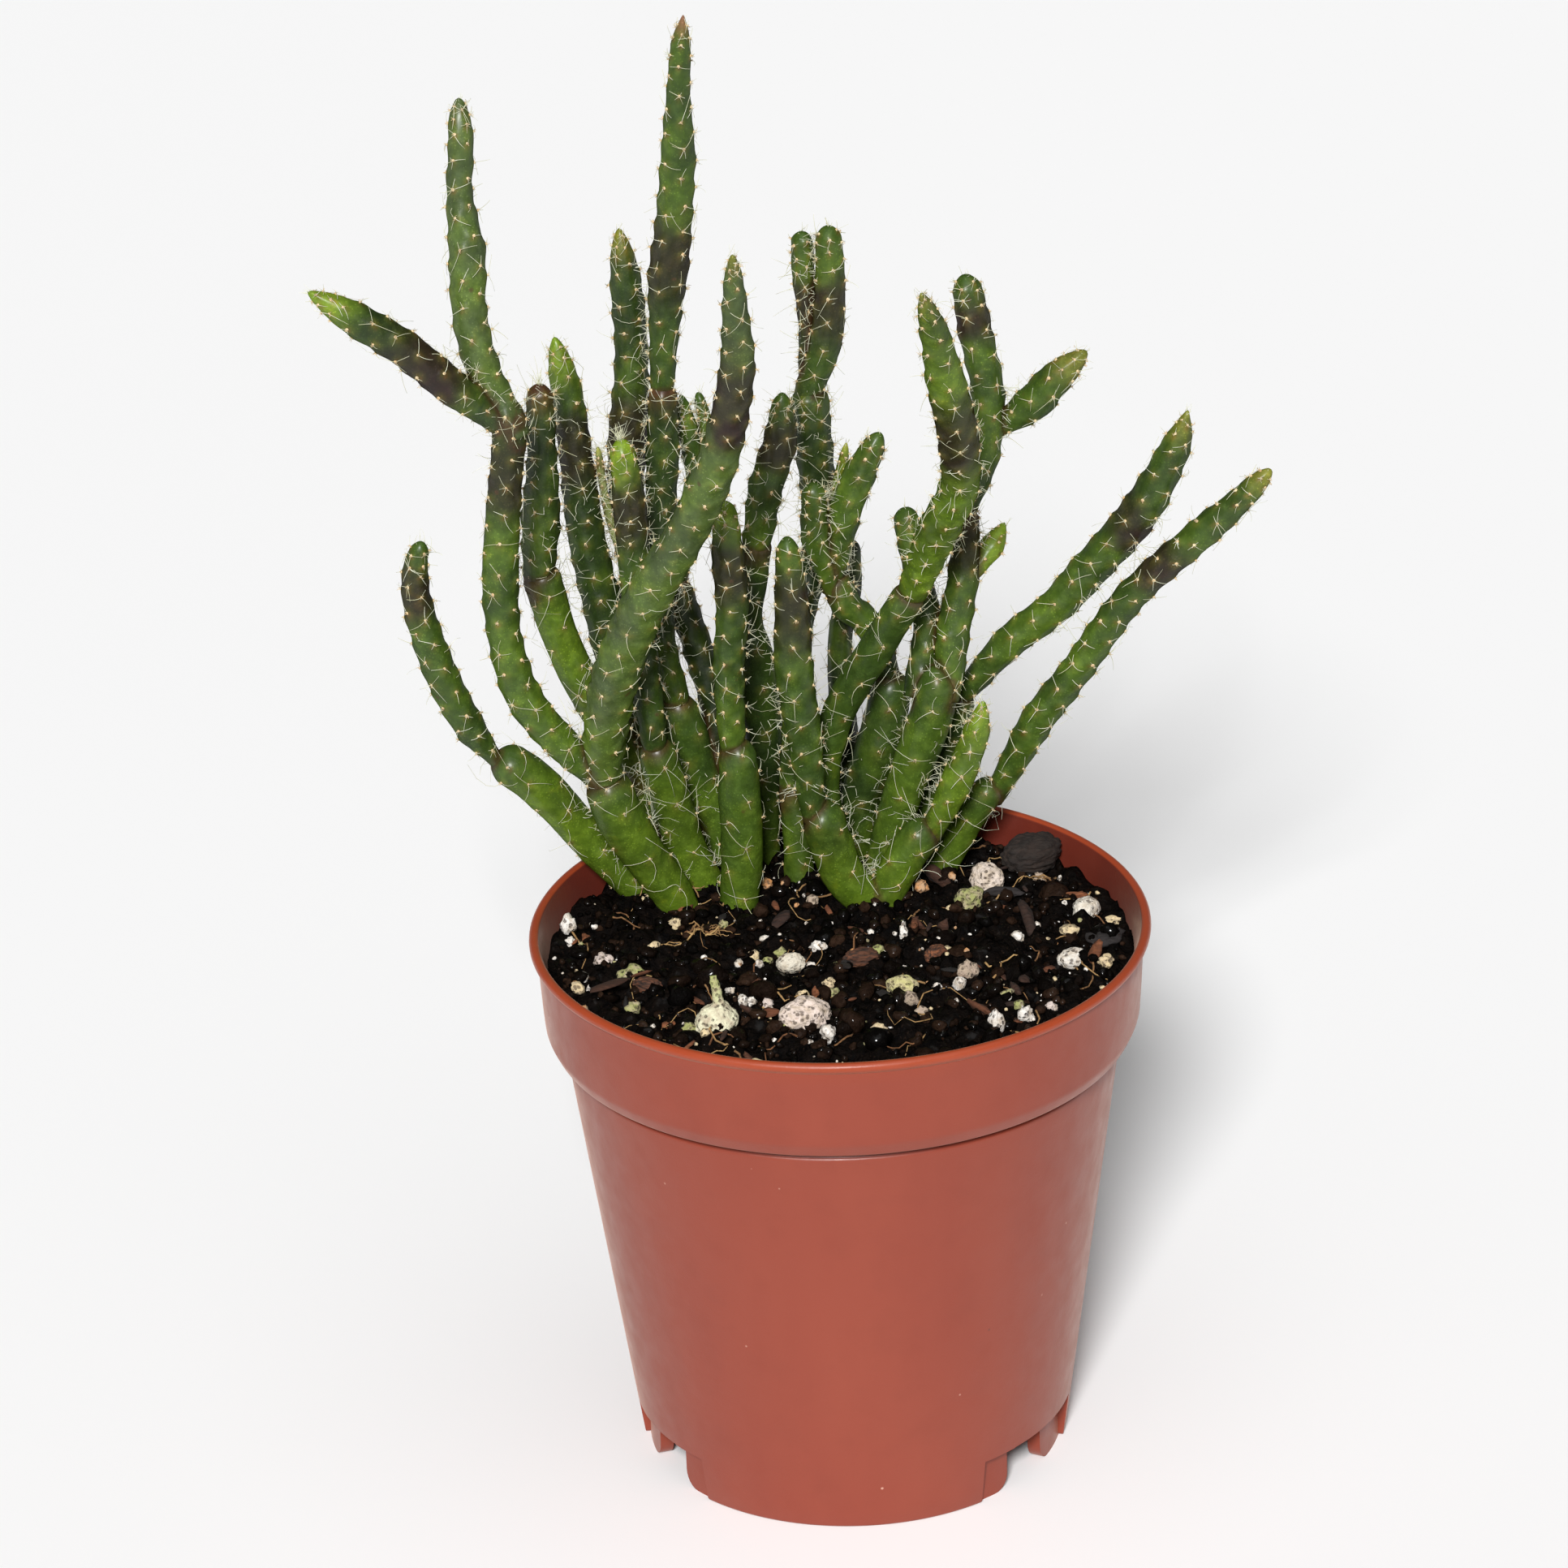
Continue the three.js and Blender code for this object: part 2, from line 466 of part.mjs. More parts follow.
function spineIsClear(name, base, tip) {
  const rimTop = POT.lipTop + SPINE.clearRim / 2;
  const nearPot = (p) => p.z < rimTop && Math.hypot(p.x, p.y) > POT.lipRadius - SPINE.clearRim;
  for (let k = 1; k <= SPINE.tests; k += 1) {
    const point = base.clone().lerp(tip, k / SPINE.tests);
    if (point.z < SOIL_LINE + SPINE.clearSoil || nearPot(point)) return false;
    const others = stemMiddles.filter((other) => other.name !== name);
    const nearStem = others.some(({ centre, radius }) =>
      centre.distanceTo(point) < radius * SPINE.widest + SPINE.clear);
    if (nearStem) return false;
    const nearSpine = setSpines.some((other) =>
      other.name !== name && other.line.closestPointToPoint(point, true, new THREE.Vector3())
        .distanceTo(point) < SPINE.clearSpine);
    if (nearSpine) return false;
  }
  return true;
}

function stemGeometry(name, segments, random) {
  const solids = [];
  const spines = [];
  segments.forEach((segment) => {
    const { geometry, areoles } = stemSegment(segment);
    solids.push(toSolid(geometry));
    areoles.forEach(({ out, along, station, radius }, index) => {
      if (index % SPINE.every !== 0 || station.radius < SPINE.thinnest) return;
      const lean = along.clone().multiplyScalar(THREE.MathUtils.lerp(...SPINE.lean, random()));
      const turn = THREE.MathUtils.lerp(-SPINE.sweep, SPINE.sweep, random());
      const sweep = along.clone().cross(out).multiplyScalar(turn);
      const direction = out.clone().add(lean).add(sweep).normalize();
      const base = station.centre.clone().addScaledVector(out, radius);
      const reach = THREE.MathUtils.lerp(SPINE.short, SPINE.long, random());
      const tip = base.clone().addScaledVector(direction, reach);
      if (!spineIsClear(name, base, tip)) return;
      setSpines.push({ name, line: new THREE.Line3(base, tip) });
      const root = station.centre.clone().addScaledVector(out, radius - SPINE.sunk);
      spines.push(spineSolid(root, tip));
    });
  });
  return toGeometry(join([...solids, ...spines]));
}

// ---------------------------------------------------------------- lumps and soil

function lumpGeometry([centre, halves, turn], extra, random) {
  const geometry = new THREE.IcosahedronGeometry(1, 1);
  geometry.deleteAttribute('normal');
  geometry.deleteAttribute('uv');
  const lump = mergeVertices(geometry);
  const position = lump.attributes.position;
  for (let i = 0; i < position.count; i += 1) {
    const swell = THREE.MathUtils.lerp(...LUMP_SWELL, random());
    const v = new THREE.Vector3().fromBufferAttribute(position, i).multiplyScalar(swell);
    position.setXYZ(i, v.x * (halves[0] + extra), v.y * (halves[1] + extra), v.z * (halves[2] + extra));
  }
  lump.rotateZ(THREE.MathUtils.degToRad(turn));
  lump.translate(...centre);
  return lump;
}

function soilHeight(x, y) {
  const wave = ([rise, alongX, alongY, phase]) => rise * Math.sin(alongX * x + alongY * y + phase);
  const clods = wave(SOIL.clods[0]) + wave(SOIL.clods[1]);
  const crumbs = wave(SOIL.crumbs[0]) * wave(SOIL.crumbs[1]);
  const { rise, middle, spread } = SOIL.mound;
  const mound = rise * Math.exp(-((x - middle[0]) ** 2 + (y - middle[1]) ** 2) / spread);
  return SOIL.level + clods + crumbs + mound;
}

function soilBody() {
  const sides = SOIL.sectors;
  const edge = innerRadius(SOIL.level - SOIL.edgeDrop) - GAP;
  const vertices = [new THREE.Vector3(0, 0, soilHeight(0, 0))];
  const ringOf = (radius, height) => {
    for (let i = 0; i < sides; i += 1) {
      const angle = (2 * Math.PI * i) / sides;
      const x = radius * Math.cos(angle);
      const y = radius * Math.sin(angle);
      vertices.push(new THREE.Vector3(x, y, height(x, y)));
    }
  };
  for (let ring = 1; ring <= SOIL.rings; ring += 1) {
    const share = ring / SOIL.rings;
    const drop = ring === SOIL.rings ? SOIL.edgeDrop : 0;
    ringOf(edge * share, (x, y) => Math.min(soilHeight(x, y) - drop, SOIL.highest));
  }
  const wallHeights = [POT.innerStep[1] + GAP, POT.seam[1] - GAP, SOIL.floor];
  wallHeights.forEach((height) => {
    // The pot's flat facets lie a little inside its round section.
    const flat = Math.cos(Math.PI / POT.sides);
    ringOf(innerRadius(height) * flat - GAP, () => height);
  });
  vertices.push(new THREE.Vector3(0, 0, SOIL.floor));
  const rings = SOIL.rings + wallHeights.length;
  const at = (ring, i) => 1 + (ring - 1) * sides + (i % sides);
  const triangles = [];
  for (let i = 0; i < sides; i += 1) {
    triangles.push([0, at(1, i), at(1, i + 1)]);
    for (let ring = 1; ring < rings; ring += 1) {
      triangles.push([at(ring, i), at(ring + 1, i), at(ring, i + 1)]);
      triangles.push([at(ring, i + 1), at(ring + 1, i), at(ring + 1, i + 1)]);
    }
    triangles.push([vertices.length - 1, at(rings, i + 1), at(rings, i)]);
  }
  return toSolid(indexed(vertices, triangles));
}

function soilGeometry() {
  let soil = soilBody();
  Object.values(STEMS).flat().filter((segment) => segment[2][0][2] < SOIL_LINE)
    .forEach((segment) => {
      const hole = stemSegment(segment, { extra: SOIL.holeGap });
      soil = soil.subtract(toSolid(hole.geometry));
    });
  Object.values(LUMPS).forEach((lump, index) => {
    soil = soil.subtract(toSolid(lumpGeometry(lump, SOIL.lumpGap, randomStream(index + 1))));
  });
  return toGeometry(soil);
}

// ---------------------------------------------------------------- assembly

function material(color, roughness) {
  return new THREE.MeshStandardMaterial({ color, roughness, metalness: 0 });
}

const part = new THREE.Group();

function place(name, geometry, surface) {
  const mesh = new THREE.Mesh(geometry, surface);
  mesh.name = name;
  part.add(mesh);
}

place('pot', potGeometry(), material(0xa35445, 0.5));
place('soil', soilGeometry(), material(0x18120c, 0.95));
const random = randomStream(SPINE.seed);
Object.entries(STEMS).forEach(([name, segments]) => {
  place(`stem_${name}`, stemGeometry(name, segments, random), material(0x516b2b, 0.6));
});
Object.entries(LUMPS).forEach(([name, lump], index) => {
  const isPerlite = lump[3] === 'perlite';
  const colour = isPerlite ? 0xc3b3a0 : 0x4a3324;
  place(name, lumpGeometry(lump, 0, randomStream(index + 1)), material(colour, 0.9));
});

const box = new THREE.Box3().setFromObject(part);
const middle = box.getCenter(new THREE.Vector3());
part.position.set(-middle.x, -middle.y, -box.min.z);

export default part;
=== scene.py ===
"""A young mistletoe cactus in its nursery pot: the looks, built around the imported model.

Sizes are in millimetres about the pot's axis, with the pot standing on z = 0 and its front at
-Y. Each mesh is turned into metres of the row frame as it is made.
"""
import math

import bmesh
import bpy
import numpy as np
from mathutils import Matrix, Vector, noise
from mathutils.kdtree import KDTree


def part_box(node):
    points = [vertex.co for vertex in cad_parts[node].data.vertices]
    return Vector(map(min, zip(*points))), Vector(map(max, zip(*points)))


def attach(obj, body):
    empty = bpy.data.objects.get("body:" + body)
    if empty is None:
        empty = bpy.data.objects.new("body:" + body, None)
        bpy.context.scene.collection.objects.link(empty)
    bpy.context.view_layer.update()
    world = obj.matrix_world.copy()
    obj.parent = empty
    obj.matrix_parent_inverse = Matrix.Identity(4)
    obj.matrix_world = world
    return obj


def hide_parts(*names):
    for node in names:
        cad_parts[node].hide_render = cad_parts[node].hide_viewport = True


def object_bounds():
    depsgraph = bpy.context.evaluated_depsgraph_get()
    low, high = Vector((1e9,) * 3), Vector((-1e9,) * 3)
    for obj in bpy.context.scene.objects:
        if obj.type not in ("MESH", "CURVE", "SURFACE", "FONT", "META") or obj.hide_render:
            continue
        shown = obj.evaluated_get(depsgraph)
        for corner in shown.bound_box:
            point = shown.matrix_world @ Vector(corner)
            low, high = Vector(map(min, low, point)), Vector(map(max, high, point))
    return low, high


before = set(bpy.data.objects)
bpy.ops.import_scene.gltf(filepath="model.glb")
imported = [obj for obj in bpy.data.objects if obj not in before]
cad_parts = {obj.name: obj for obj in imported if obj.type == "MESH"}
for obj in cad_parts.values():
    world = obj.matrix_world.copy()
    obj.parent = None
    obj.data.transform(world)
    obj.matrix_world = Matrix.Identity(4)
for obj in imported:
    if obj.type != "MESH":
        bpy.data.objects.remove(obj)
CAD_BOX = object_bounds()
MM = 0.001
POT_LOW, POT_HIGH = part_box("pot")
AXIS = np.array([(POT_LOW.x + POT_HIGH.x) / 2, (POT_LOW.y + POT_HIGH.y) / 2, POT_LOW.z])


# ---- sizes and places

POT = {
    "sides": 192,
    "step": 1.5,  # the longest step along the fine section
    "lip_radius": 27.05,  # centre of the rolled lip's bead
    "lip_bead": 0.45,
    "lip_top": 50.5,
    "collar_top": (26.85, 49.3),  # radius, height
    "collar_low": (26.55, 44.0),
    "collar_foot": (26.4, 42.1),
    "collar_tuck": (25.8, 40.85),
    "seam": (24.75, 40.2),
    "wall_foot": (19.9, 5.0),  # on the wall's straight run from the seam to the table
    "foot_radius": 19.2,
    "foot_inner": 17.5,
    "wall": 0.8,
    "inner_step": (25.3, 42.7),
    "floor_under": 4.4,
    "floor_top": 5.2,
}
# Heights of the pot's inside, and radii within the thickness of its wall at them.
WALL_LEVELS = [POT["floor_top"], POT["seam"][1], POT["inner_step"][1], POT["lip_top"]]
WALL_MIDDLE = [19.5, 24.3, 25.6, 26.75]
# The cuts in the foot and the floor: where each starts and ends, in degrees from the front, the
# radii that it runs between, its height and how much its lower corners are eased.
NOTCHES = [(-71, -55), (45.5, 61.5), (167, 183)]
CUTS = [
    {"spans": [(-86, -44.5), (35, 77), (154, 196)],
     "inner": 18.75, "outer": 24.0, "top": 4.5, "corner": 0.4},
    {"spans": NOTCHES, "inner": 17.0, "outer": 24.0, "top": 4.55, "corner": 1.6},
    {"spans": NOTCHES, "inner": 14.4, "outer": 17.2, "top": 6.0, "corner": 0.01},
]
SOIL = {
    "sectors": 304,
    "rings": 96,
    "level": 47.9,
    "floor": 5.5,
    "edge": 25.95,
    "highest": 48.9,  # at the pot's wall
    "rough": 0.55,
}
STEM = {
    "sides": 24,
    "step": 0.34,
    "foot_height": 44.0,
    "sink": 1.9,  # how far a segment's base reaches into the one that bears it
    "base": 0.965,  # the plain radius, between areoles
    "podarium": 0.13,  # an areole's rise, as a share of the stem's radius
    "old_podarium": 0.05,  # the same on the old, smooth segments at the soil
    "tip": {"round": 1.0, "point": 2.6},
    # The shares of the tip's length that its stations have left to go.
    "tip_stations": (1, 0.86, 0.7, 0.54, 0.38, 0.24, 0.13, 0.05),
}
AREOLE = {
    "pitch": 1.28,  # between whorls of three, on the young segments
    "old_pitch": 2.3,
    "width": 0.155,
    "height": 0.085,
    "rise_behind": 1.0,  # how far its rise of the skin reaches along the stem
    "old_rise_behind": 1.4,
    "rise_ahead": 0.42,
    "rise_aside": 0.42,  # the same round the stem, in radians
}
SOIL_LINE = 50.0

# Each stem is a list of jointed segments: its name, the form of its tip, and the points that
# its middle runs through, as x, y, z and radius. One that starts below SOIL_LINE is rooted.
STEMS = {
    "far_left": [
        ("low", "round", [(-18, 13.5, 47.5, 1.7), (-21.9, 12, 53.2, 1.7), (-26, 10.5, 59.5, 1.95),
            (-29.9, 9, 63.7, 1.9)]),
        ("upper", "round", [(-30.5, 9, 64, 0.8), (-32, 8.5, 66.5, 1.4), (-34.5, 7.5, 73, 1.5),
            (-36, 7, 79.5, 1.3), (-36, 6.5, 83, 1.1), (-35.3, 6, 85.8, 0.7)]),
    ],
    "front_left": [
        ("low", "round", [(-14.5, 10, 48, 1.8), (-17, 9, 53, 2), (-19.1, 8, 57.5, 2.25),
            (-20.5, 7, 62.5, 2.05)]),
        ("leaning", "point", [(-20.5, 7, 62.5, 1.6), (-20, 5, 68, 2), (-18.5, 2.5, 75, 2.1),
            (-15.6, -1, 83, 2.05), (-11.8, -4, 90.5, 1.75), (-9.7, -6.3, 96, 1.85),
            (-8.5, -8, 100, 1.7), (-7, -11.5, 108.5, 1.5), (-7, -14, 114.5, 1.1), (-7, -16, 120, 0.5)]),
        ("left", "round", [(-21, 7, 62.5, 1.4), (-23.9, 6.5, 65.7, 1.55), (-27.1, 6, 70.7, 1.65),
            (-28.5, 5.5, 77, 1.5), (-28.5, 5, 83.5, 1.65), (-27.8, 4.5, 90.5, 1.5),
            (-26.7, 4, 99, 1.4)]),
        ("rising", "point", [(-27, 4, 98, 1.3), (-29, 5, 102, 1.5), (-30, 5.5, 107, 1.5),
            (-30, 6.5, 112.5, 1.6), (-30.4, 7.5, 117.5, 1.1), (-30.1, 8, 121.5, 1.1),
            (-30.1, 9, 125.5, 0.85)]),
        ("reaching", "point", [(-28, 4, 98, 1.3), (-31.5, 3.5, 101, 1.6), (-35.5, 3, 105, 1.6),
            (-39.5, 2.5, 108.1, 1.5), (-43.5, 2, 111, 0.7)]),
    ],
    "second_left": [
        ("low", "round", [(-11.5, 14, 46, 1.9), (-13.5, 13.5, 51.5, 1.9), (-15, 12.5, 58.5, 1.8),
            (-16, 11.5, 63.5, 1.7)]),
        ("upper", "round", [(-16, 11.5, 64, 1.2), (-16.5, 11.5, 70, 1.4), (-17, 11, 79.5, 1.4),
            (-17.2, 10.5, 87, 1.5), (-17.7, 10.5, 93, 1)]),
    ],
    "front_centre": [
        ("low", "round", [(-9, 9.5, 47, 1.7), (-8.5, 9, 53.5, 1.9), (-8.5, 8.5, 59, 1.9),
            (-8.5, 8, 65, 1.6)]),
        ("upper", "round", [(-9, 8, 65.5, 1.2), (-9, 7.5, 72.5, 1.4), (-8.5, 7, 78, 1.45),
            (-8.7, 6.5, 83.3, 1.5), (-8.8, 6, 88.7, 0.9)]),
    ],
    "front_right": [
        ("low", "round", [(3, 9.5, 47.5, 1.8), (1, 9, 50, 1.9), (-0.5, 8.5, 54, 2),
            (-1.5, 8, 58.5, 1.8)]),
        ("upper", "round", [(-2.1, 8, 58.5, 1.2), (-2.6, 8, 65, 1.6), (-3.3, 7.5, 72, 1.75),
            (-3.3, 7.5, 78.5, 1.55), (-3.5, 7.5, 84.5, 0.9)]),
        ("side", "round", [(4, 9.5, 47.5, 1.7), (6, 9.5, 52, 1.8), (8.5, 9.5, 55.5, 1.7)]),
        ("sprout", "point", [(9, 9.5, 55.5, 1.1), (10.9, 9.5, 59.5, 1.5), (12.7, 10, 64, 1.2),
            (13.4, 10, 67, 0.6)]),
    ],
    "right_low": [
        ("low", "round", [(9, 15.5, 47, 1.5), (11, 15.5, 51.5, 1.6), (13, 15, 55, 1.6),
            (15, 15, 56.5, 1.3)]),
        ("upper", "point", [(15, 15, 56.5, 1.1), (18.2, 14, 63, 1.55), (21.5, 13.3, 67.8, 1.45),
            (26.9, 12, 76, 1.4), (33.5, 11, 82.5, 1.4), (36.3, 10.5, 85.3, 1.15), (39, 10, 88.3, 0.9)]),
    ],
    "right_middle": [
        ("low", "round", [(4, 14.5, 48, 1.6), (5, 14, 53, 1.7), (7, 13, 59.5, 1.9), (9, 12.5, 65.5, 2),
            (9.5, 12, 69.5, 1.6)]),
        ("middle", "round", [(10.5, 12.5, 68, 1.2), (10.9, 13.5, 72, 1.55), (12, 14.5, 77.5, 1.4),
            (12.4, 16, 83.5, 1.05)]),
        ("top", "round", [(12.4, 16, 83, 1), (14.2, 16.5, 88, 1.3), (14.6, 17.5, 93, 1.45),
            (13.5, 18.5, 99.5, 1.5), (12.8, 19, 104, 1.1)]),
        ("fork", "point", [(16, 17.5, 90.5, 1.1), (18.6, 17, 92.5, 1.65), (20.5, 16.5, 94.9, 1.5),
            (23.3, 16, 97.6, 1)]),
        ("bud", "point", [(13, 15, 77.5, 0.8), (14.6, 16, 79.3, 1.1), (15.8, 17, 81.1, 0.65)]),
        ("rear", "round", [(7.8, 13.5, 68, 1.3), (8.5, 14.4, 71, 1.3), (8.7, 15, 73.5, 1.2),
            (8.1, 16, 76.2, 1.15), (7.4, 17, 79, 1.1), (7, 18, 82.5, 1.1)]),
    ],
    "right_rear": [
        ("low", "round", [(6.5, 19.5, 47.5, 1.6), (9, 18.5, 54.5, 1.5), (11.8, 17.5, 64.5, 1.3)]),
        ("upper", "point", [(12.3, 17.5, 65, 1.1), (16, 17, 69.5, 1.5), (20.1, 16.5, 73, 1.6),
            (23.3, 16, 76.8, 1.75), (27.8, 15, 82.7, 1.8), (30.9, 14.5, 88.9, 1.35),
            (32, 14, 92.5, 0.5)]),
    ],
    "leaning": [
        ("low", "round", [(0.5, 14, 47, 1.3), (-0.3, 14, 53, 1.3), (-1, 13.6, 58, 1.4),
            (0.5, 12.6, 65, 1.5), (3.9, 10.5, 72, 1.6), (7.5, 8, 79, 1.5)]),
        ("upper", "point", [(7.5, 8, 79, 1.4), (9.5, 4.5, 85.5, 1.8), (11.5, 1, 91.5, 1.7),
            (11.5, -2, 97, 1.8), (10.5, -6, 104, 1.7), (9.5, -9, 110, 1.2), (8.5, -12, 114.5, 0.4)]),
    ],
    "centre_right": [
        ("low", "round", [(1.5, 17.5, 48, 1.5), (2.3, 17.5, 54.5, 1.9), (4.3, 17, 60.5, 2.1),
            (5.6, 17, 67, 1.8)]),
        ("bend", "round", [(5, 17, 67, 1.1), (3.5, 17, 71.5, 1.3), (1.5, 16.5, 74, 1.4),
            (0.5, 16.5, 77, 1.2)]),
        ("right", "round", [(0.5, 16.5, 77, 1.1), (1.5, 16, 82.5, 1.5), (3, 16, 86.5, 1.5),
            (5, 15.5, 90.7, 0.8)]),
        ("left", "round", [(0, 16, 77, 1), (-1, 15.5, 81, 1.3), (-1, 14.5, 86.5, 1)]),
    ],
    "centre": [
        ("low", "round", [(-3.5, 14.5, 47, 1.4), (-3.5, 15, 52.5, 1.4), (-4, 15.5, 57.5, 1.2)]),
        ("trunk", "round", [(-3.9, 15.4, 57, 1.2), (-3.3, 15.5, 63, 1.3), (-3.2, 16.3, 67.5, 1.3),
            (-2.6, 18.3, 72, 1.3), (-1.5, 20, 75.5, 1.3), (-0.7, 21, 79.5, 1.35),
            (-0.7, 21.3, 84, 1.6), (-0.9, 21.5, 88, 1.65), (-1.2, 21.5, 93, 1.65)]),
        ("top", "round", [(-1, 21.5, 93, 1.3), (0.4, 21.5, 97, 1.5), (1, 21.5, 102.5, 1.4),
            (1, 21.5, 108, 1.1)]),
        ("twin", "round", [(-1.5, 21.5, 93, 0.6), (-1.2, 22, 98.5, 0.7), (-1.3, 22.5, 103, 1),
            (-1.35, 23, 107, 0.95)]),
        ("bud", "point", [(0, 20.5, 80.5, 0.5), (1.5, 20, 85.5, 0.5), (2, 20, 88, 0.3)]),
    ],
    "centre_rear": [
        ("low", "round", [(-6.5, 19.5, 47.5, 1.3), (-6.5, 19.5, 53.5, 1.5), (-6.3, 19, 60, 1.75),
            (-6.5, 18.2, 66, 1.85), (-7, 17.5, 69.5, 1.7), (-7.4, 17, 72.5, 1.4),
            (-6.7, 16.5, 76.5, 1.25), (-6.1, 16, 81, 1.35)]),
        ("upper", "round", [(-6.1, 16, 81, 1.35), (-5.2, 15.5, 86, 1.55), (-3.8, 15.5, 90.5, 1.5),
            (-3.5, 15, 95, 0.7)]),
    ],
    "dark_rear": [
        ("low", "round", [(2.5, 21.5, 47.5, 1.3), (1.3, 21.8, 56, 1.3), (0.8, 22, 64, 1.15),
            (0.95, 22.3, 68.5, 1.1), (1.8, 22.7, 72.5, 1.15), (2, 22.8, 77.5, 1)]),
    ],
    "tallest": [
        ("low", "round", [(-10, 18.5, 48, 1.5), (-11.7, 18, 55, 1.8), (-13.4, 17.5, 62, 2),
            (-14.3, 17, 65.5, 1.5)]),
        ("middle", "round", [(-14, 17, 65.5, 1.2), (-15, 17, 70.5, 1.2), (-15, 17, 77.5, 1.4),
            (-14.6, 17.5, 84, 1.4), (-14.2, 17.5, 89.5, 1.5), (-14, 17.5, 95.5, 1.2)]),
        ("top", "point", [(-14, 17.5, 95.5, 1.1), (-13.6, 17, 101, 1.35), (-13.15, 16.5, 105.5, 1.75),
            (-12.4, 16, 111, 1.6), (-11.75, 15.5, 117.5, 1.5), (-11.5, 15, 123, 1.05),
            (-11.15, 14.5, 127.5, 0.9), (-10.8, 14, 130.5, 0.3)]),
        ("rear", "round", [(-11.6, 18.2, 54, 1.2), (-10.5, 18.9, 62.5, 1.3), (-11.3, 19.5, 66.6, 1.4),
            (-12.1, 20, 69.3, 1.35), (-12.9, 20.5, 72, 1.3), (-13.6, 21, 75, 1.1)]),
        ("rear_upper", "round", [(-13.6, 21, 74.5, 0.9), (-12.8, 21, 78, 1), (-11.7, 21, 81.5, 1),
            (-11, 21, 85, 0.9)]),
        ("fork_left", "round", [(-11.5, 21, 84.5, 0.8), (-12, 20.5, 89.5, 0.9),
            (-12.5, 20.5, 92.9, 0.4)]),
        ("fork_right", "round", [(-11, 21, 84.5, 0.7), (-10.5, 21.5, 89.5, 0.7), (-11, 22, 92.5, 0.4)]),
    ],
    "rear_left": [
        ("low", "round", [(-14.5, 17.5, 48, 1.5), (-16, 17.5, 53.5, 1.5), (-18.3, 17, 59.5, 1.6),
            (-21.1, 16.5, 64.5, 1.7), (-23.8, 15.5, 71.5, 1.6), (-25.6, 14.5, 79.5, 1.75)]),
        ("upper", "round", [(-25.6, 14.5, 79, 1.4), (-25.2, 14.5, 84, 1.75), (-24.8, 14, 89.5, 1.35),
            (-24.7, 14, 97, 1.1)]),
        ("second", "point", [(-18, 17, 59, 1.3), (-19, 18, 65.5, 1.55), (-20, 18.5, 72, 1.75),
            (-21.4, 19, 80.5, 1.7), (-22, 19.5, 88, 1.5), (-22.6, 20, 94, 1.4), (-23.4, 20, 99, 0.8)]),
        ("third", "round", [(-16, 17.5, 53, 1.2), (-17, 20.5, 60.5, 1.3), (-17.5, 21, 68, 1.4),
            (-17.5, 21, 76, 1.3)]),
        ("third_upper", "point", [(-17.3, 21, 75, 1.2), (-17.8, 21, 82.5, 1.55),
            (-17.4, 20.5, 88.5, 1.8), (-16.7, 20.5, 96.5, 1.5), (-16.9, 20, 104, 1.4),
            (-17.3, 20, 109, 0.7)]),
        ("bud", "point", [(-18.5, 20.5, 78, 0.4), (-19.5, 19.5, 83, 0.4), (-20, 18.5, 89, 0.3)]),
    ],
    "rear_short": [
        ("low", "round", [(-3, 21.5, 48, 1.5), (-3, 22.5, 54.5, 1.5), (-3.5, 23, 60, 1.3)]),
    ],
}

# The stems' colours as sRGB.
GREENS = {
    "fresh": (84, 108, 26), "leaf": (58, 80, 26), "deep": (42, 60, 21), "dark": (27, 39, 14),
    "grey": (74, 90, 48), "lime": (112, 138, 34), "olive": (114, 116, 42), "yellow": (158, 158, 62),
    "pink": (134, 96, 74), "pale": (160, 170, 106), "purple": (40, 27, 22), "brown": (66, 42, 26),
    "rust": (104, 62, 30),
}
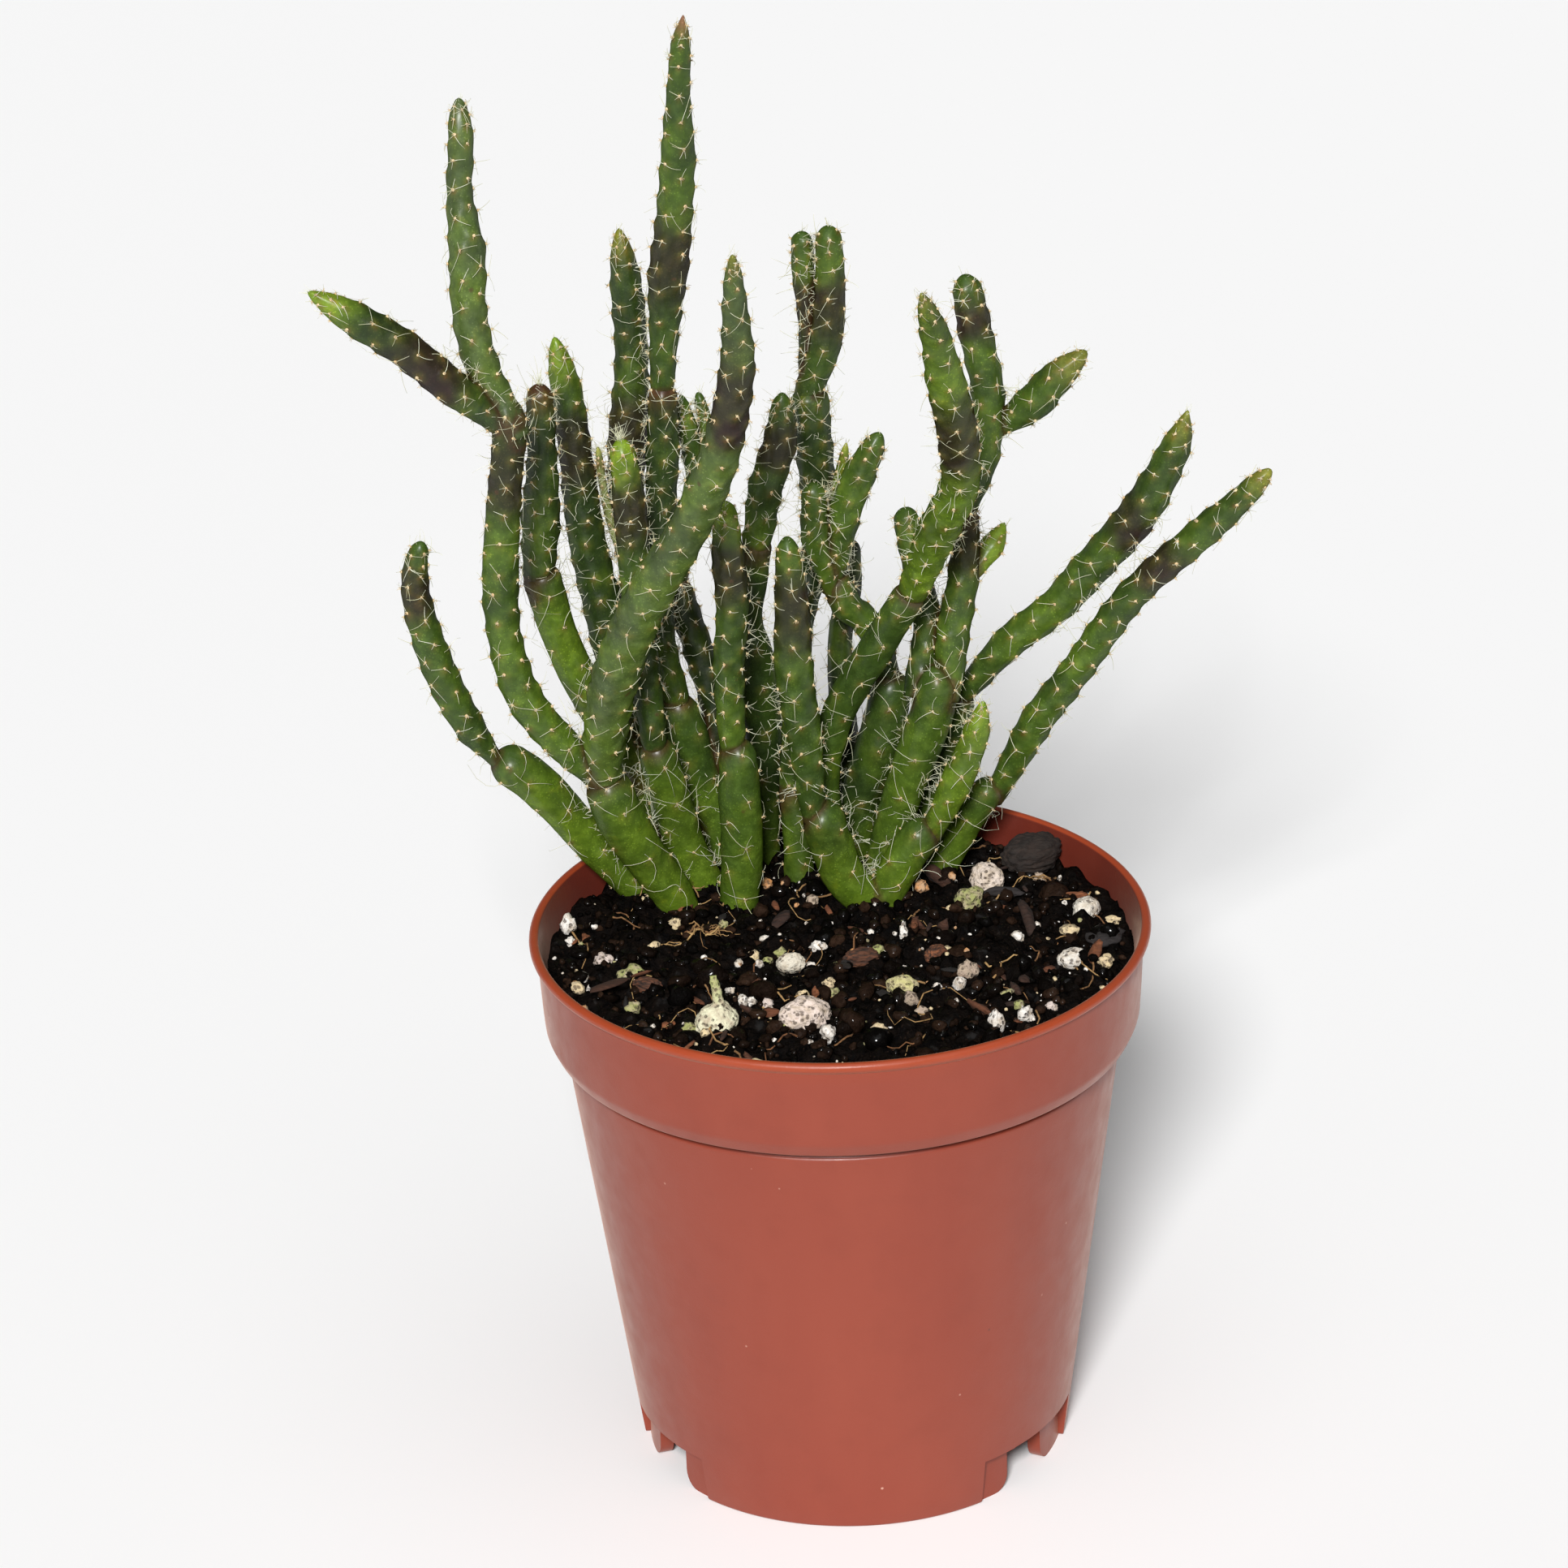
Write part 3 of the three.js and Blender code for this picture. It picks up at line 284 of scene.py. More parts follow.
# Each segment's green and its tip's colour, and where its purple-brown band starts and ends, as
# shares of its length. Segments that aren't named are PLAIN_LOOK.
PLAIN_LOOK = ("leaf", "leaf")
LOOKS = {
    "far_left.low": ("fresh", "leaf"), "far_left.upper": ("leaf", "leaf", 0.7, 0.9),
    "front_left.low": ("fresh", "leaf"), "front_left.leaning": ("grey", "olive", 0.7, 0.83),
    "front_left.left": ("leaf", "leaf", 0.77, 0.94), "front_left.rising": ("grey", "grey"),
    "front_left.reaching": ("deep", "lime", 0.3, 0.62), "second_left.low": ("fresh", "leaf"),
    "second_left.upper": ("leaf", "lime", 0.68, 0.88),
    "front_centre.upper": ("leaf", "lime", 0.61, 0.84), "front_right.low": ("fresh", "leaf"),
    "front_right.upper": ("leaf", "leaf", 0.64, 0.89), "front_right.side": ("fresh", "leaf"),
    "front_right.sprout": ("fresh", "lime"), "right_low.upper": ("leaf", "olive", 0.62, 0.75),
    "right_middle.middle": ("leaf", "brown", 0.68, 0.96),
    "right_middle.top": ("leaf", "leaf", 0.76, 0.93), "right_middle.fork": ("leaf", "olive"),
    "right_middle.bud": ("lime", "lime"), "right_middle.rear": ("deep", "leaf"),
    "right_rear.low": ("deep", "leaf"), "right_rear.upper": ("leaf", "olive", 0.62, 0.72),
    "leaning.upper": ("fresh", "olive", 0.46, 0.68), "centre_right.low": ("deep", "leaf"),
    "centre.low": ("deep", "leaf"), "centre.trunk": ("deep", "leaf"),
    "centre.top": ("leaf", "leaf", 0.38, 0.73), "centre.twin": ("deep", "leaf", 0.38, 0.73),
    "centre.bud": ("lime", "yellow"), "centre_rear.low": ("deep", "leaf"),
    "centre_rear.upper": ("leaf", "leaf", 0.56, 0.84), "dark_rear.low": ("dark", "dark"),
    "tallest.middle": ("deep", "brown"), "tallest.top": ("leaf", "pink", 0.26, 0.49),
    "tallest.rear": ("dark", "dark"), "tallest.rear_upper": ("deep", "leaf"),
    "rear_left.low": ("fresh", "leaf"), "rear_left.upper": ("deep", "brown"),
    "rear_left.second": ("deep", "lime", 0.67, 0.82), "rear_left.third": ("dark", "leaf"),
    "rear_left.third_upper": ("deep", "olive", 0.35, 0.56), "rear_left.bud": ("pale", "yellow"),
    "rear_short.low": ("dark", "dark"),
}
# Where segments are fuzzy, as shares of their length.
FUZZY = {
    "leaning.upper": (0.15, 0.6), "centre.twin": (0.2, 0.8), "centre.trunk": (0.7, 1),
    "centre_rear.upper": (0.1, 0.95), "centre_right.left": (0.2, 1), "centre_right.right": (0, 0.5),
    "rear_left.upper": (0.1, 1), "rear_left.second": (0.4, 0.85), "front_left.rising": (0, 0.25),
    "second_left.upper": (0.3, 0.95), "tallest.middle": (0.2, 0.95), "front_right.upper": (0.1, 0.5),
    "front_left.left": (0.85, 1), "rear_left.third_upper": (0, 0.5),
}
# The hairs at tips that carry a thick tuft.
TUFTS = {"second_left.upper": 34, "front_left.left": 26, "rear_left.upper": 20}

# Lumps half sunk in the soil: centre, half sizes, turn in degrees, and the lump's own colour.
LUMPS = {
    "perlite_front": ((-3.3, -14.2, 48.6), (2.5, 1.9, 1.7), 20, (226, 208, 196)),
    "perlite_left": ((-10.9, -14.3, 48.4), (1.9, 2.2, 1.8), -35, (226, 222, 190)),
    "perlite_right": ((20.5, -4, 48.2), (1.5, 1.1, 1), 10, (222, 216, 206)),
    "perlite_rear": ((13.4, 11.2, 48.8), (1.5, 1.7, 1.6), 40, (220, 204, 190)),
    "perlite_middle": ((5.3, -8.7, 48.3), (1.5, 1.1, 1.1), -15, (196, 190, 128)),
    "perlite_inner": ((-4.4, -3.3, 48.3), (1.4, 1, 1), 5, (214, 206, 188)),
    "perlite_edge": ((22, 5.5, 48.3), (1.7, 1.3, 1.1), 70, (230, 224, 212)),
    "bark_rear": ((17.5, 15.2, 49.2), (3.2, 2.3, 2), 35, (38, 30, 25)),
    "bark_centre": ((1.8, -2.7, 48.3), (1.8, 1, 0.9), 15, (112, 68, 44)),
    "bark_left": ((-17, -6.8, 48.3), (1.4, 0.9, 0.8), -25, (124, 76, 50)),
    "bark_right": ((8.4, -2.2, 48.2), (1.3, 0.9, 0.8), 55, (150, 92, 58)),
}

# Smaller bits on the soil, by kind: the colour, then x, y and half sizes, with one half size for
# a round bit and three and a turn in degrees for the others.
BITS = {
    "white": ((236, 230, 222), [
        (-24.2, 4.4, 0.8, 1, 1.1, 0), (5.6, 1.9, 0.45, 0.6, 1.2, 0), (-2, -0.5, 0.9, 0.5, 0.5, 0),
        (-11.9, -4.3, 0.7), (8.3, -9.4, 0.5), (-1.3, -16.8, 0.85, 0.9, 1.1, 20),
        (13.2, -16.5, 0.75, 0.8, 1.3, 0), (15.8, -15, 0.9, 0.7, 0.9, 30), (-9.8, -8.7, 0.5),
        (22.3, 4.9, 0.8, 0.5, 0.5, 20), (15.8, 0.9, 0.6), (16.4, -2.6, 0.5), (-7.9, -10.6, 0.5),
        (-22, -5.8, 0.5), (-24, 3, 0.5), (-7.2, -4.2, 0.5), (-15.6, -6.8, 0.7, 0.35, 0.3, 0)]),
    "bone": ((212, 196, 188), [(-21, -1, 0.9), (-6.6, -9.8, 0.7), (18.1, -13, 0.6)]),
    "stone": ((172, 152, 134), [(6.9, -12, 0.8), (6, -10.5, 0.8), (11, -7.1, 1), (18.1, 12.9, 0.8),
                                (-2.4, 7.9, 0.6)]),
    "cream": ((222, 200, 156), [
        (-16.6, 0.9, 0.7), (-13.8, -9.5, 0.55), (-5, 13.3, 0.5), (-1.1, -6.8, 0.65),
        (9.4, -0.4, 0.7), (15.8, 18.3, 0.9), (23.2, -5.7, 0.8), (20.5, 2.2, 0.9), (3.1, -16, 0.7),
        (24.3, 4.5, 0.8, 0.5, 0.5, 0), (-14.6, 5.4, 0.7), (-3.4, -10.1, 0.6)]),
    "amber": ((208, 146, 88), [(-6.4, 11.7, 0.6), (7.4, 10.2, 0.75), (0.2, -12.5, 0.6),
                               (16.9, 13.9, 0.9)]),
    "moss": ((154, 156, 96), [
        (-18.4, -4, 1.6, 1.3, 0.9, 0), (-10.4, 4.9, 0.5, 0.4, 0.8, 0), (11.7, 8.3, 1.3),
        (14.4, -11, 0.9, 0.35, 0.35, 45), (-0.8, -9.2, 0.6), (3.3, -1.7, 0.7),
        (-13.3, -14.7, 0.7), (-18.3, -10.8, 0.7), (-5.3, -0.3, 0.6), (-6.5, -1.5, 0.5)]),
    "rust_bark": ((140, 84, 50), [
        (-13.9, 8.2, 1.2, 0.5, 0.5, 50), (-15.2, -12.9, 1.6, 0.5, 0.4, 30),
        (21.3, 8.9, 1.4, 0.5, 0.4, 0), (-22.7, 4.6, 0.4, 1.4, 0.4, 0),
        (-2.3, -9.8, 0.4, 0.3, 0.8, 0)]),
    "dark_bark": ((40, 34, 34), [(14.7, 9.3, 2, 0.6, 0.6, -15), (23.4, 0.2, 1.7, 1.5, 0.6, 0)]),
}

# The scattered pieces: the middle and the spread of the logarithm of their sizes, how many there
# are, and the least and the largest size.
SCATTERED = {
    "crumbs": (-0.35, 0.45, 1500, 0.35, 2.4),
    "grains": (-1.0, 0.5, 250, 0.18, 1.2),
    "chips": (0.3, 0.45, 60, 0.7, 3.4),
}
ROOT_TUFT = (-12.0, 3.7)
FIBRES = 104
TUFT_FIBRES = 24  # the first of them, which lie at ROOT_TUFT

CAMERA = {
    "place": (0.0, -578.92, 336.12),
    "heading": -0.00772,  # radians from +Y
    "dip": 0.43913,
    "roll": -0.03628,
    "lens": 167.70,  # on a 36 mm sensor
}


# ---- meshes

def paint(mesh, tint):
    """Keeps a linear colour for each point of the mesh, for its material to read."""
    layer = mesh.attributes.new("tint", "FLOAT_COLOR", "POINT")
    rgba = np.concatenate([tint, np.ones((len(tint), 1))], axis=1)
    layer.data.foreach_set("color", rgba.astype(np.float32).ravel())


def add_object(name, data):
    """An object of the scene that holds a mesh, a light or a camera."""
    made = bpy.data.objects.new(name, data)
    bpy.context.scene.collection.objects.link(made)
    return made


def new_piece(name, points, faces, material, slot, stands_for=(), tint=None):
    """A piece of the object from points in mm and lists of faces, one list for each face size."""
    placed = np.asarray(points, float) * MM + AXIS
    corners = np.concatenate([np.asarray(f, int).ravel() for f in faces])
    sizes = np.concatenate([np.full(len(f), np.asarray(f).shape[1]) for f in faces])
    starts = np.concatenate([[0], np.cumsum(sizes)[:-1]])
    mesh = bpy.data.meshes.new(name)
    mesh.vertices.add(len(placed))
    mesh.vertices.foreach_set("co", placed.astype(np.float32).ravel())
    mesh.loops.add(len(corners))
    mesh.loops.foreach_set("vertex_index", corners.astype(np.int32))
    mesh.polygons.add(len(sizes))
    mesh.polygons.foreach_set("loop_start", starts.astype(np.int32))
    mesh.update(calc_edges=True)
    mesh.polygons.foreach_set("use_smooth", np.ones(len(sizes), bool))
    if tint is not None:
        paint(mesh, tint)
    mesh.materials.append(material)
    piece = add_object(name, mesh)
    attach(piece, "root")
    if stands_for:
        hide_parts(*stands_for)
    return piece


class Gathered:
    """Points, faces and tints of many small shapes that make one piece."""

    def __init__(self):
        self.points, self.tints, self.faces, self.count = [], [], {}, 0

    def add(self, points, faces, tint=None):
        for face_list in faces:
            listed = np.asarray(face_list, int)
            self.faces.setdefault(listed.shape[1], []).append(listed + self.count)
        self.points.append(points)
        self.count += len(points)
        if tint is not None:
            self.tints.append(np.broadcast_to(tint, (len(points), 3)))

    def piece(self, name, material, slot, stands_for=()):
        faces = [np.concatenate(lists) for lists in self.faces.values()]
        tint = np.concatenate(self.tints) if self.tints else None
        points = np.concatenate(self.points)
        return new_piece(name, points, faces, material, slot, stands_for, tint)


def ball(subdivisions):
    """Points and faces of an icosphere of radius 1."""
    shape = bmesh.new()
    bmesh.ops.create_icosphere(shape, subdivisions=subdivisions, radius=1)
    points = np.array([v.co for v in shape.verts])
    faces = np.array([[v.index for v in f.verts] for f in shape.faces])
    shape.free()
    return points, faces


def grid_faces(rows, columns):
    """Quads between rows of points that each go once round."""
    row, column = np.meshgrid(np.arange(rows - 1), np.arange(columns), indexing="ij")
    after = (column + 1) % columns
    low, high = row * columns, (row + 1) * columns
    return np.stack([low + column, low + after, high + after, high + column], -1).reshape(-1, 4)


def fan_faces(columns, hub, first, outward):
    """Triangles from a hub to the points of one row, facing away from the row after it."""
    j = np.arange(columns)
    a, b = first + j, first + (j + 1) % columns
    hubs = np.full(columns, hub)
    return np.stack([hubs, a, b] if outward else [hubs, b, a], -1)


def loft_faces(rows, sides):
    """The faces of a closed loft: its rows of points, then a hub before them and one after."""
    hub = rows * sides
    return [grid_faces(rows, sides), fan_faces(sides, hub, 0, False),
            fan_faces(sides, hub + 1, hub - sides, True)]


def turns_round(sides):
    """Evenly spaced angles once round, in radians."""
    return np.linspace(0, 2 * np.pi, sides, endpoint=False)


def ring(radius, height, sides):
    """Points once round the axis."""
    turn = turns_round(sides)
    return np.column_stack([radius * np.cos(turn), radius * np.sin(turn), np.full(sides, height)])


def srgb(*values):
    """The linear colour of sRGB values from 0 to 255."""
    share = np.array(values, float) / 255
    return np.where(share < 0.04, share / 12.92, ((share + 0.055) / 1.055) ** 2.4)


def fractal(points, grain, octaves=4, seed=0.0):
    """Noise of about -1 to 1 at points in mm, with features about grain mm across."""
    shift = Vector((17.3, -9.1, 4.7)) * seed
    return np.array([noise.fractal(Vector(p) / grain + shift, 0.8, 2.1, octaves) for p in points])


def unit(vectors):
    return vectors / np.maximum(np.linalg.norm(vectors, axis=-1, keepdims=True), 1e-9)


def blend_tint(tint, colour, share):
    """Mixes an sRGB colour into a tint, by a share for each point."""
    share = np.clip(share, 0, 1)[..., None]
    return tint * (1 - share) + srgb(*colour) * share


def shade_of(dark, light, share):
    """The linear colour a share of the way from one sRGB colour to another."""
    return srgb(*dark) * (1 - share) + srgb(*light) * share


# ---- materials

class Surface:
    """A node material around one Principled shader, with its base colour built up in layers."""

    def __init__(self, name, **values):
        self.material = bpy.data.materials.new(name)
        self.material.use_nodes = True
        self.tree = self.material.node_tree
        self.shader = self.tree.nodes["Principled BSDF"]
        for label, value in values.items():
            self.shader.inputs[label.replace("_", " ")].default_value = value

    def node(self, kind, inputs=None, **settings):
        made = self.tree.nodes.new("ShaderNode" + kind)
        for label, value in settings.items():
            setattr(made, label, value)
        for label, value in (inputs or {}).items():
            self.feed(made.inputs[label], value)
        return made

    def feed(self, socket, value):
        if isinstance(value, bpy.types.NodeSocket):
            self.tree.links.new(value, socket)
        elif socket.type == "RGBA":
            socket.default_value = (*value, 1)
        else:
            socket.default_value = value

    def place(self, stretch=(1, 1, 1)):
        """The point on the object, in mm."""
        coordinates = self.node("TexCoord").outputs["Object"]
        scale = tuple(s / MM for s in stretch)
        return self.node("Mapping", {"Vector": coordinates, "Scale": scale}).outputs[0]

    def limits(self, value, low, high, to_low=0.0, to_high=1.0):
        inputs = {0: value, 1: low, 2: high, 3: to_low, 4: to_high}
        return self.node("MapRange", inputs).outputs[0]

    def noise(self, grain, low=0.35, high=0.65, detail=4, stretch=(1, 1, 1)):
        """Noise with features about grain mm across, 0 below low and 1 above high."""
        inputs = {"Vector": self.place(stretch), "Scale": 1 / grain, "Detail": detail}
        return self.limits(self.node("TexNoise", inputs).outputs[0], low, high)

    def dots(self, spacing, size):
        """1 in dots about size mm across, spacing mm apart, and 0 elsewhere."""
        inputs = {"Vector": self.place(), "Scale": 1 / spacing}
        distance = self.node("TexVoronoi", inputs).outputs["Distance"]
        return self.limits(distance, size / spacing, 0.5 * size / spacing)

    def times(self, a, b):
        return self.node("Math", {0: a, 1: b}, operation="MULTIPLY").outputs[0]

    def mix(self, share, a, b, how="MIX"):
        made = self.node("Mix", data_type="RGBA", blend_type=how)
        self.feed(made.inputs[0], share)
        self.feed(made.inputs[6], a)
        self.feed(made.inputs[7], b)
        return made.outputs[2]

    def tint(self):
        return self.node("Attribute", attribute_name="tint").outputs["Color"]

    def bump(self, height, distance):
        """A bump of a height from 0 to 1, distance mm deep."""
        inputs = {"Height": height, "Distance": distance * MM, "Strength": 1.0}
        below = self.shader.inputs["Normal"].links
        if below:
            inputs["Normal"] = below[0].from_socket
        self.feed(self.shader.inputs["Normal"], self.node("Bump", inputs).outputs[0])

    def rough(self, grain, depth, detail=4):
        """A bump of noise with features about grain mm across and depth mm deep."""
        self.bump(self.noise(grain, 0.2, 0.8, detail), depth)

    def set(self, label, value):
        self.feed(self.shader.inputs[label], value)

    def paint(self, colour):
        self.colour = colour
        self.set("Base Color", colour)

    def cover(self, mask, colour, strength=1.0):
        """Lays an sRGB colour over the base colour, where the mask shows it."""
        self.paint(self.mix(self.times(mask, strength), self.colour, srgb(*colour)))

    def shade(self, mask, factor, strength=1.0):
        """Multiplies the base colour by a factor, where the mask shows it."""
        self.paint(self.mix(self.times(mask, strength), self.colour, factor, "MULTIPLY"))

    def speckles(self, spacing, size, grain, low, high):
        """Dots that show in patches about grain mm across."""
        return self.times(self.dots(spacing, size), self.noise(grain, low, high))


def stem_skin():
    skin = Surface("stem_skin", IOR=1.25, Coat_Roughness=0.28, Subsurface_Weight=0.04)
    skin.paint(skin.tint())
    skin.shade(skin.noise(0.7, 0.3, 0.7, detail=6), (0.42, 0.48, 0.4), 0.6)  # mottling
    skin.shade(skin.noise(2.4, 0.42, 0.7), (1.5, 1.4, 1.1), 0.5)  # clouds
    skin.shade(skin.noise(1.1, 0.5, 0.72, detail=8), (1.8, 1.7, 2.3), 0.6)  # lighter bluish patches: part waxy bloom, part painted highlight
    skin.shade(skin.noise(1.7, 0.64, 0.72), (1.9, 1.5, 1.2), 0.5)  # blotches
    skin.cover(skin.speckles(1.9, 0.3, 3.0, 0.56, 0.6), (74, 50, 30), 0.6)  # scars
    skin.shade(skin.speckles(0.27, 0.09, 1.6, 0.4, 0.55), (2.4, 2.2, 2.6), 0.5)  # flecks
    skin.set("Roughness", skin.limits(skin.noise(1.1, 0.2, 0.8), 0, 1, 0.38, 0.62))
    skin.set("Subsurface Radius", (0.5, 0.9, 0.2))
    skin.set("Subsurface Scale", 0.7 * MM)
    rim = skin.node("LayerWeight", {"Blend": 0.5}).outputs["Facing"]
    skin.set("Specular IOR Level", skin.limits(rim, 0.35, 0.85, 0.5, 0.0))
    skin.set("Coat Weight", skin.limits(rim, 0.25, 0.65, 0.36, 0.0))
    skin.rough(0.9, 0.05)
    skin.rough(0.35, 0.03)
    skin.rough(0.12, 0.008)
    return skin.material


def areole_felt():
    felt = Surface("areole_felt", Roughness=0.9, Sheen_Weight=0.2, Specular_IOR_Level=0.2)
    felt.paint(felt.mix(felt.noise(0.25, 0.35, 0.75), srgb(234, 216, 174), srgb(208, 166, 112)))
    felt.rough(0.06, 0.03)
    return felt.material


def bristle_white():
    # The faint emission is painted light: the thin hairs glow a little, in place of light shining
    # through them.
    bristle = Surface("bristle_white", Roughness=0.5, Specular_IOR_Level=0.3,
                      Emission_Color=(0.8, 0.82, 0.7, 1.0), Emission_Strength=0.04)
    bristle.paint(bristle.mix(bristle.noise(2.0), srgb(226, 228, 206), srgb(192, 190, 150)))
    return bristle.material


def pot_plastic():
    plastic = Surface("pot_plastic", IOR=1.46, Sheen_Weight=0.16, Sheen_Roughness=0.35,
                      Sheen_Tint=(1.0, 0.7, 0.54, 1.0))
    plastic.paint(plastic.tint())
    plastic.cover(plastic.noise(7.0, 0.3, 0.7, stretch=(1, 1, 0.25)), (166, 84, 60), 0.14)  # swirl
    plastic.shade(plastic.noise(3.0, 0.5, 0.8, detail=8), (0.72, 0.66, 0.64), 0.22)  # stains
    plastic.cover(plastic.speckles(3.4, 0.16, 6.0, 0.5, 0.56), (222, 176, 156), 0.6)  # dust
    plastic.cover(plastic.speckles(5.1, 0.2, 9.0, 0.52, 0.58), (92, 48, 40), 0.7)  # grime
    roughness = plastic.limits(plastic.noise(2.2, 0.25, 0.75, detail=6), 0, 1, 0.34, 0.5)
    plastic.set("Roughness", roughness)
    plastic.rough(1.4, 0.012)
    plastic.rough(0.16, 0.006)
    return plastic.material


def soil_mix():
    soil = Surface("soil_mix", IOR=1.1, Coat_Roughness=0.12, Roughness=0.6)
    soil.paint(soil.mix(soil.noise(0.8, 0.35, 0.7), srgb(6, 5, 5), srgb(18, 13, 10)))
    soil.cover(soil.noise(0.3, 0.62, 0.78), (62, 46, 36), 0.5)
    soil.set("Coat Weight", soil.limits(soil.noise(1.3, 0.55, 0.7), 0, 1, 0.0, 0.4))
    soil.rough(0.9, 0.35, detail=8)
    soil.rough(0.2, 0.1, detail=6)
    return soil.material


def crumb_mix():
    crumb = Surface("crumb_mix", IOR=1.1, Coat_Roughness=0.12, Roughness=0.6)
    crumb.paint(crumb.tint())
    crumb.shade(crumb.noise(0.35, 0.3, 0.7), (0.4, 0.36, 0.34))
    crumb.set("Coat Weight", crumb.limits(crumb.noise(0.9, 0.5, 0.65), 0, 1, 0.0, 0.5))
    crumb.rough(0.2, 0.1, detail=6)
    return crumb.material


def perlite_foam():
    foam = Surface("perlite_foam", Roughness=0.95)
    foam.paint(foam.tint())
    foam.cover(foam.noise(0.7, 0.4, 0.75), (178, 160, 136))
    holes = foam.speckles(0.42, 0.2, 1.1, 0.42, 0.5)
    foam.cover(holes, (74, 56, 44), 0.75)
    foam.rough(0.22, 0.09, detail=6)
    foam.bump(foam.limits(holes, 0, 1, 1, 0), 0.12)
    return foam.material


def bark_fibre():
    bark = Surface("bark_fibre", Roughness=0.85)
    bark.paint(bark.tint())
    grain = bark.noise(0.35, 0.3, 0.7, detail=8, stretch=(0.25, 1, 1))
    bark.shade(grain, (0.4, 0.35, 0.3))
    bark.bump(grain, 0.12)
    return bark.material


def studio_white():
    paper = Surface("studio_white", Roughness=0.95, Specular_IOR_Level=0.0)
    paper.paint(paper.mix(paper.noise(900.0), (0.93, 0.93, 0.93), (0.95, 0.95, 0.95)))
    return paper.material


# ---- the pot

def inner_radius(height):
    """The inside radius of the pot's wall."""
    wall = POT["wall"]
    radii = [POT["wall_foot"][0] - wall, POT["seam"][0] - wall, POT["inner_step"][0],
             POT["lip_radius"] - POT["lip_bead"]]
    return float(np.interp(height, WALL_LEVELS, radii))


def rounded(corners, cut, steps=3):
    """A line of corners with each inner corner eased over cut mm to each side."""
    corners = np.array(corners, float)
    line = [corners[0]]
    for before, corner, after in zip(corners[:-2], corners[1:-1], corners[2:]):
        back, on = before - corner, after - corner
        start = corner + back * min(cut / np.linalg.norm(back), 0.45)
        end = corner + on * min(cut / np.linalg.norm(on), 0.45)
        for t in np.linspace(0, 1, steps + 1):
            line.append((1 - t) ** 2 * start + 2 * t * (1 - t) * corner + t**2 * end)
    line.append(corners[-1])
    return np.array(line)


def pot_profile():
    """The pot's section as radius and height, from the axis under the floor to the axis above."""
    groove = [(24.70, 39.85), (24.42, 40.1), (24.45, 40.4), (25.3, 40.72)]
    outside = [(0, POT["floor_under"]), (POT["foot_inner"], POT["floor_under"]),
               (POT["foot_inner"], 0), (POT["foot_radius"], 0), *groove, POT["collar_tuck"],
               POT["collar_foot"], POT["collar_low"], POT["collar_top"]]
    bead = np.radians(np.linspace(-60, 180, 17))
    middle = POT["lip_top"] - POT["lip_bead"]
    lip = np.stack([POT["lip_radius"] + POT["lip_bead"] * np.cos(bead),
                    middle + POT["lip_bead"] * np.sin(bead)], -1)
    heights = [middle - 0.2, POT["inner_step"][1], POT["seam"][1], POT["floor_top"]]
    inside = [(inner_radius(z), z) for z in heights] + [(0, POT["floor_top"])]
    return np.concatenate([rounded(outside, 0.28), lip, rounded(inside, 0.3)])


def fill_out(line, longest):
    """Adds points along a line so that no step is longer than longest."""
    filled = [line[:1]]
    for a, b in zip(line[:-1], line[1:]):
        steps = max(1, math.ceil(np.linalg.norm(b - a) / longest))
        filled.append(a + (b - a) * (np.arange(1, steps + 1) / steps)[:, None])
    return np.concatenate(filled)


def pot_tint(points):
    """Terracotta; painted light: more orange lip and foot's edge; painted shade: darker inside."""
    radius, height = np.hypot(points[:, 0], points[:, 1]), points[:, 2]
    tint = np.broadcast_to(srgb(135, 57, 39), points.shape)
    # Painted shade: the inside of the wall is darker.
    inside = (height > POT["floor_top"]) & (radius < np.interp(height, WALL_LEVELS, WALL_MIDDLE))
    tint = blend_tint(tint, (96, 34, 24), inside.astype(float))
    # Painted light: the lip's bead is more orange, as where light shines through the thin plastic.
    tint = blend_tint(tint, (152, 60, 28), (height - 49.2) / 0.5 * (radius > 26.7))
    # Painted highlight: a lighter orange line along the front of the foot's edge, where light catches
    # it.
    parting_highlight = np.exp(-((height - 5.6) / 0.16) ** 2) * (radius > 19) * (points[:, 1] < -8)
    tint = blend_tint(tint, (176, 84, 52), parting_highlight * 0.6)
    # Painted shade: a dark line in the seam's groove.
    seam = np.exp(-((height - POT["seam"][1]) / 0.22) ** 2) * (radius > 24.3)
    return blend_tint(tint, (84, 38, 32), seam * 0.8)


def foot_cutters(form, corner_steps=6, top_steps=19):
    """Solids that cut away the ring between the feet, with eased lower corners."""
    corner = form["corner"]
    flare = corner / POT["foot_radius"]
    t = np.linspace(0, math.pi / 2, corner_steps + 1)
    rise = corner * (1 - np.sin(t))
    tops = np.concatenate([rise[::-1], np.full(top_steps, form["top"]), rise])
    solids = Gathered()
    for span in form["spans"]:
        start, end = np.radians(span)
        left, right = start - flare * (1 - np.cos(t)), end + flare * (1 - np.cos(t))
        level = np.linspace(start + 1e-3, end - 1e-3, top_steps)
        turned = np.concatenate([left[::-1], level, right])
        rows = []
        for angle, top in zip(turned, tops):
            out = np.array([math.sin(angle), -math.cos(angle)])
            section = [(form["inner"], -1), (form["outer"], -1),
                       (form["outer"], top), (form["inner"], top)]
            rows.append([(*(out * r), z) for r, z in section])
        points = np.array(rows).reshape(-1, 3)
        last = len(points) - 4
        ends = np.array([[0, 1, 2, 3], [last + 3, last + 2, last + 1, last]])
        solids.add(points, [grid_faces(len(turned), 4)[:, ::-1], ends])
    return solids


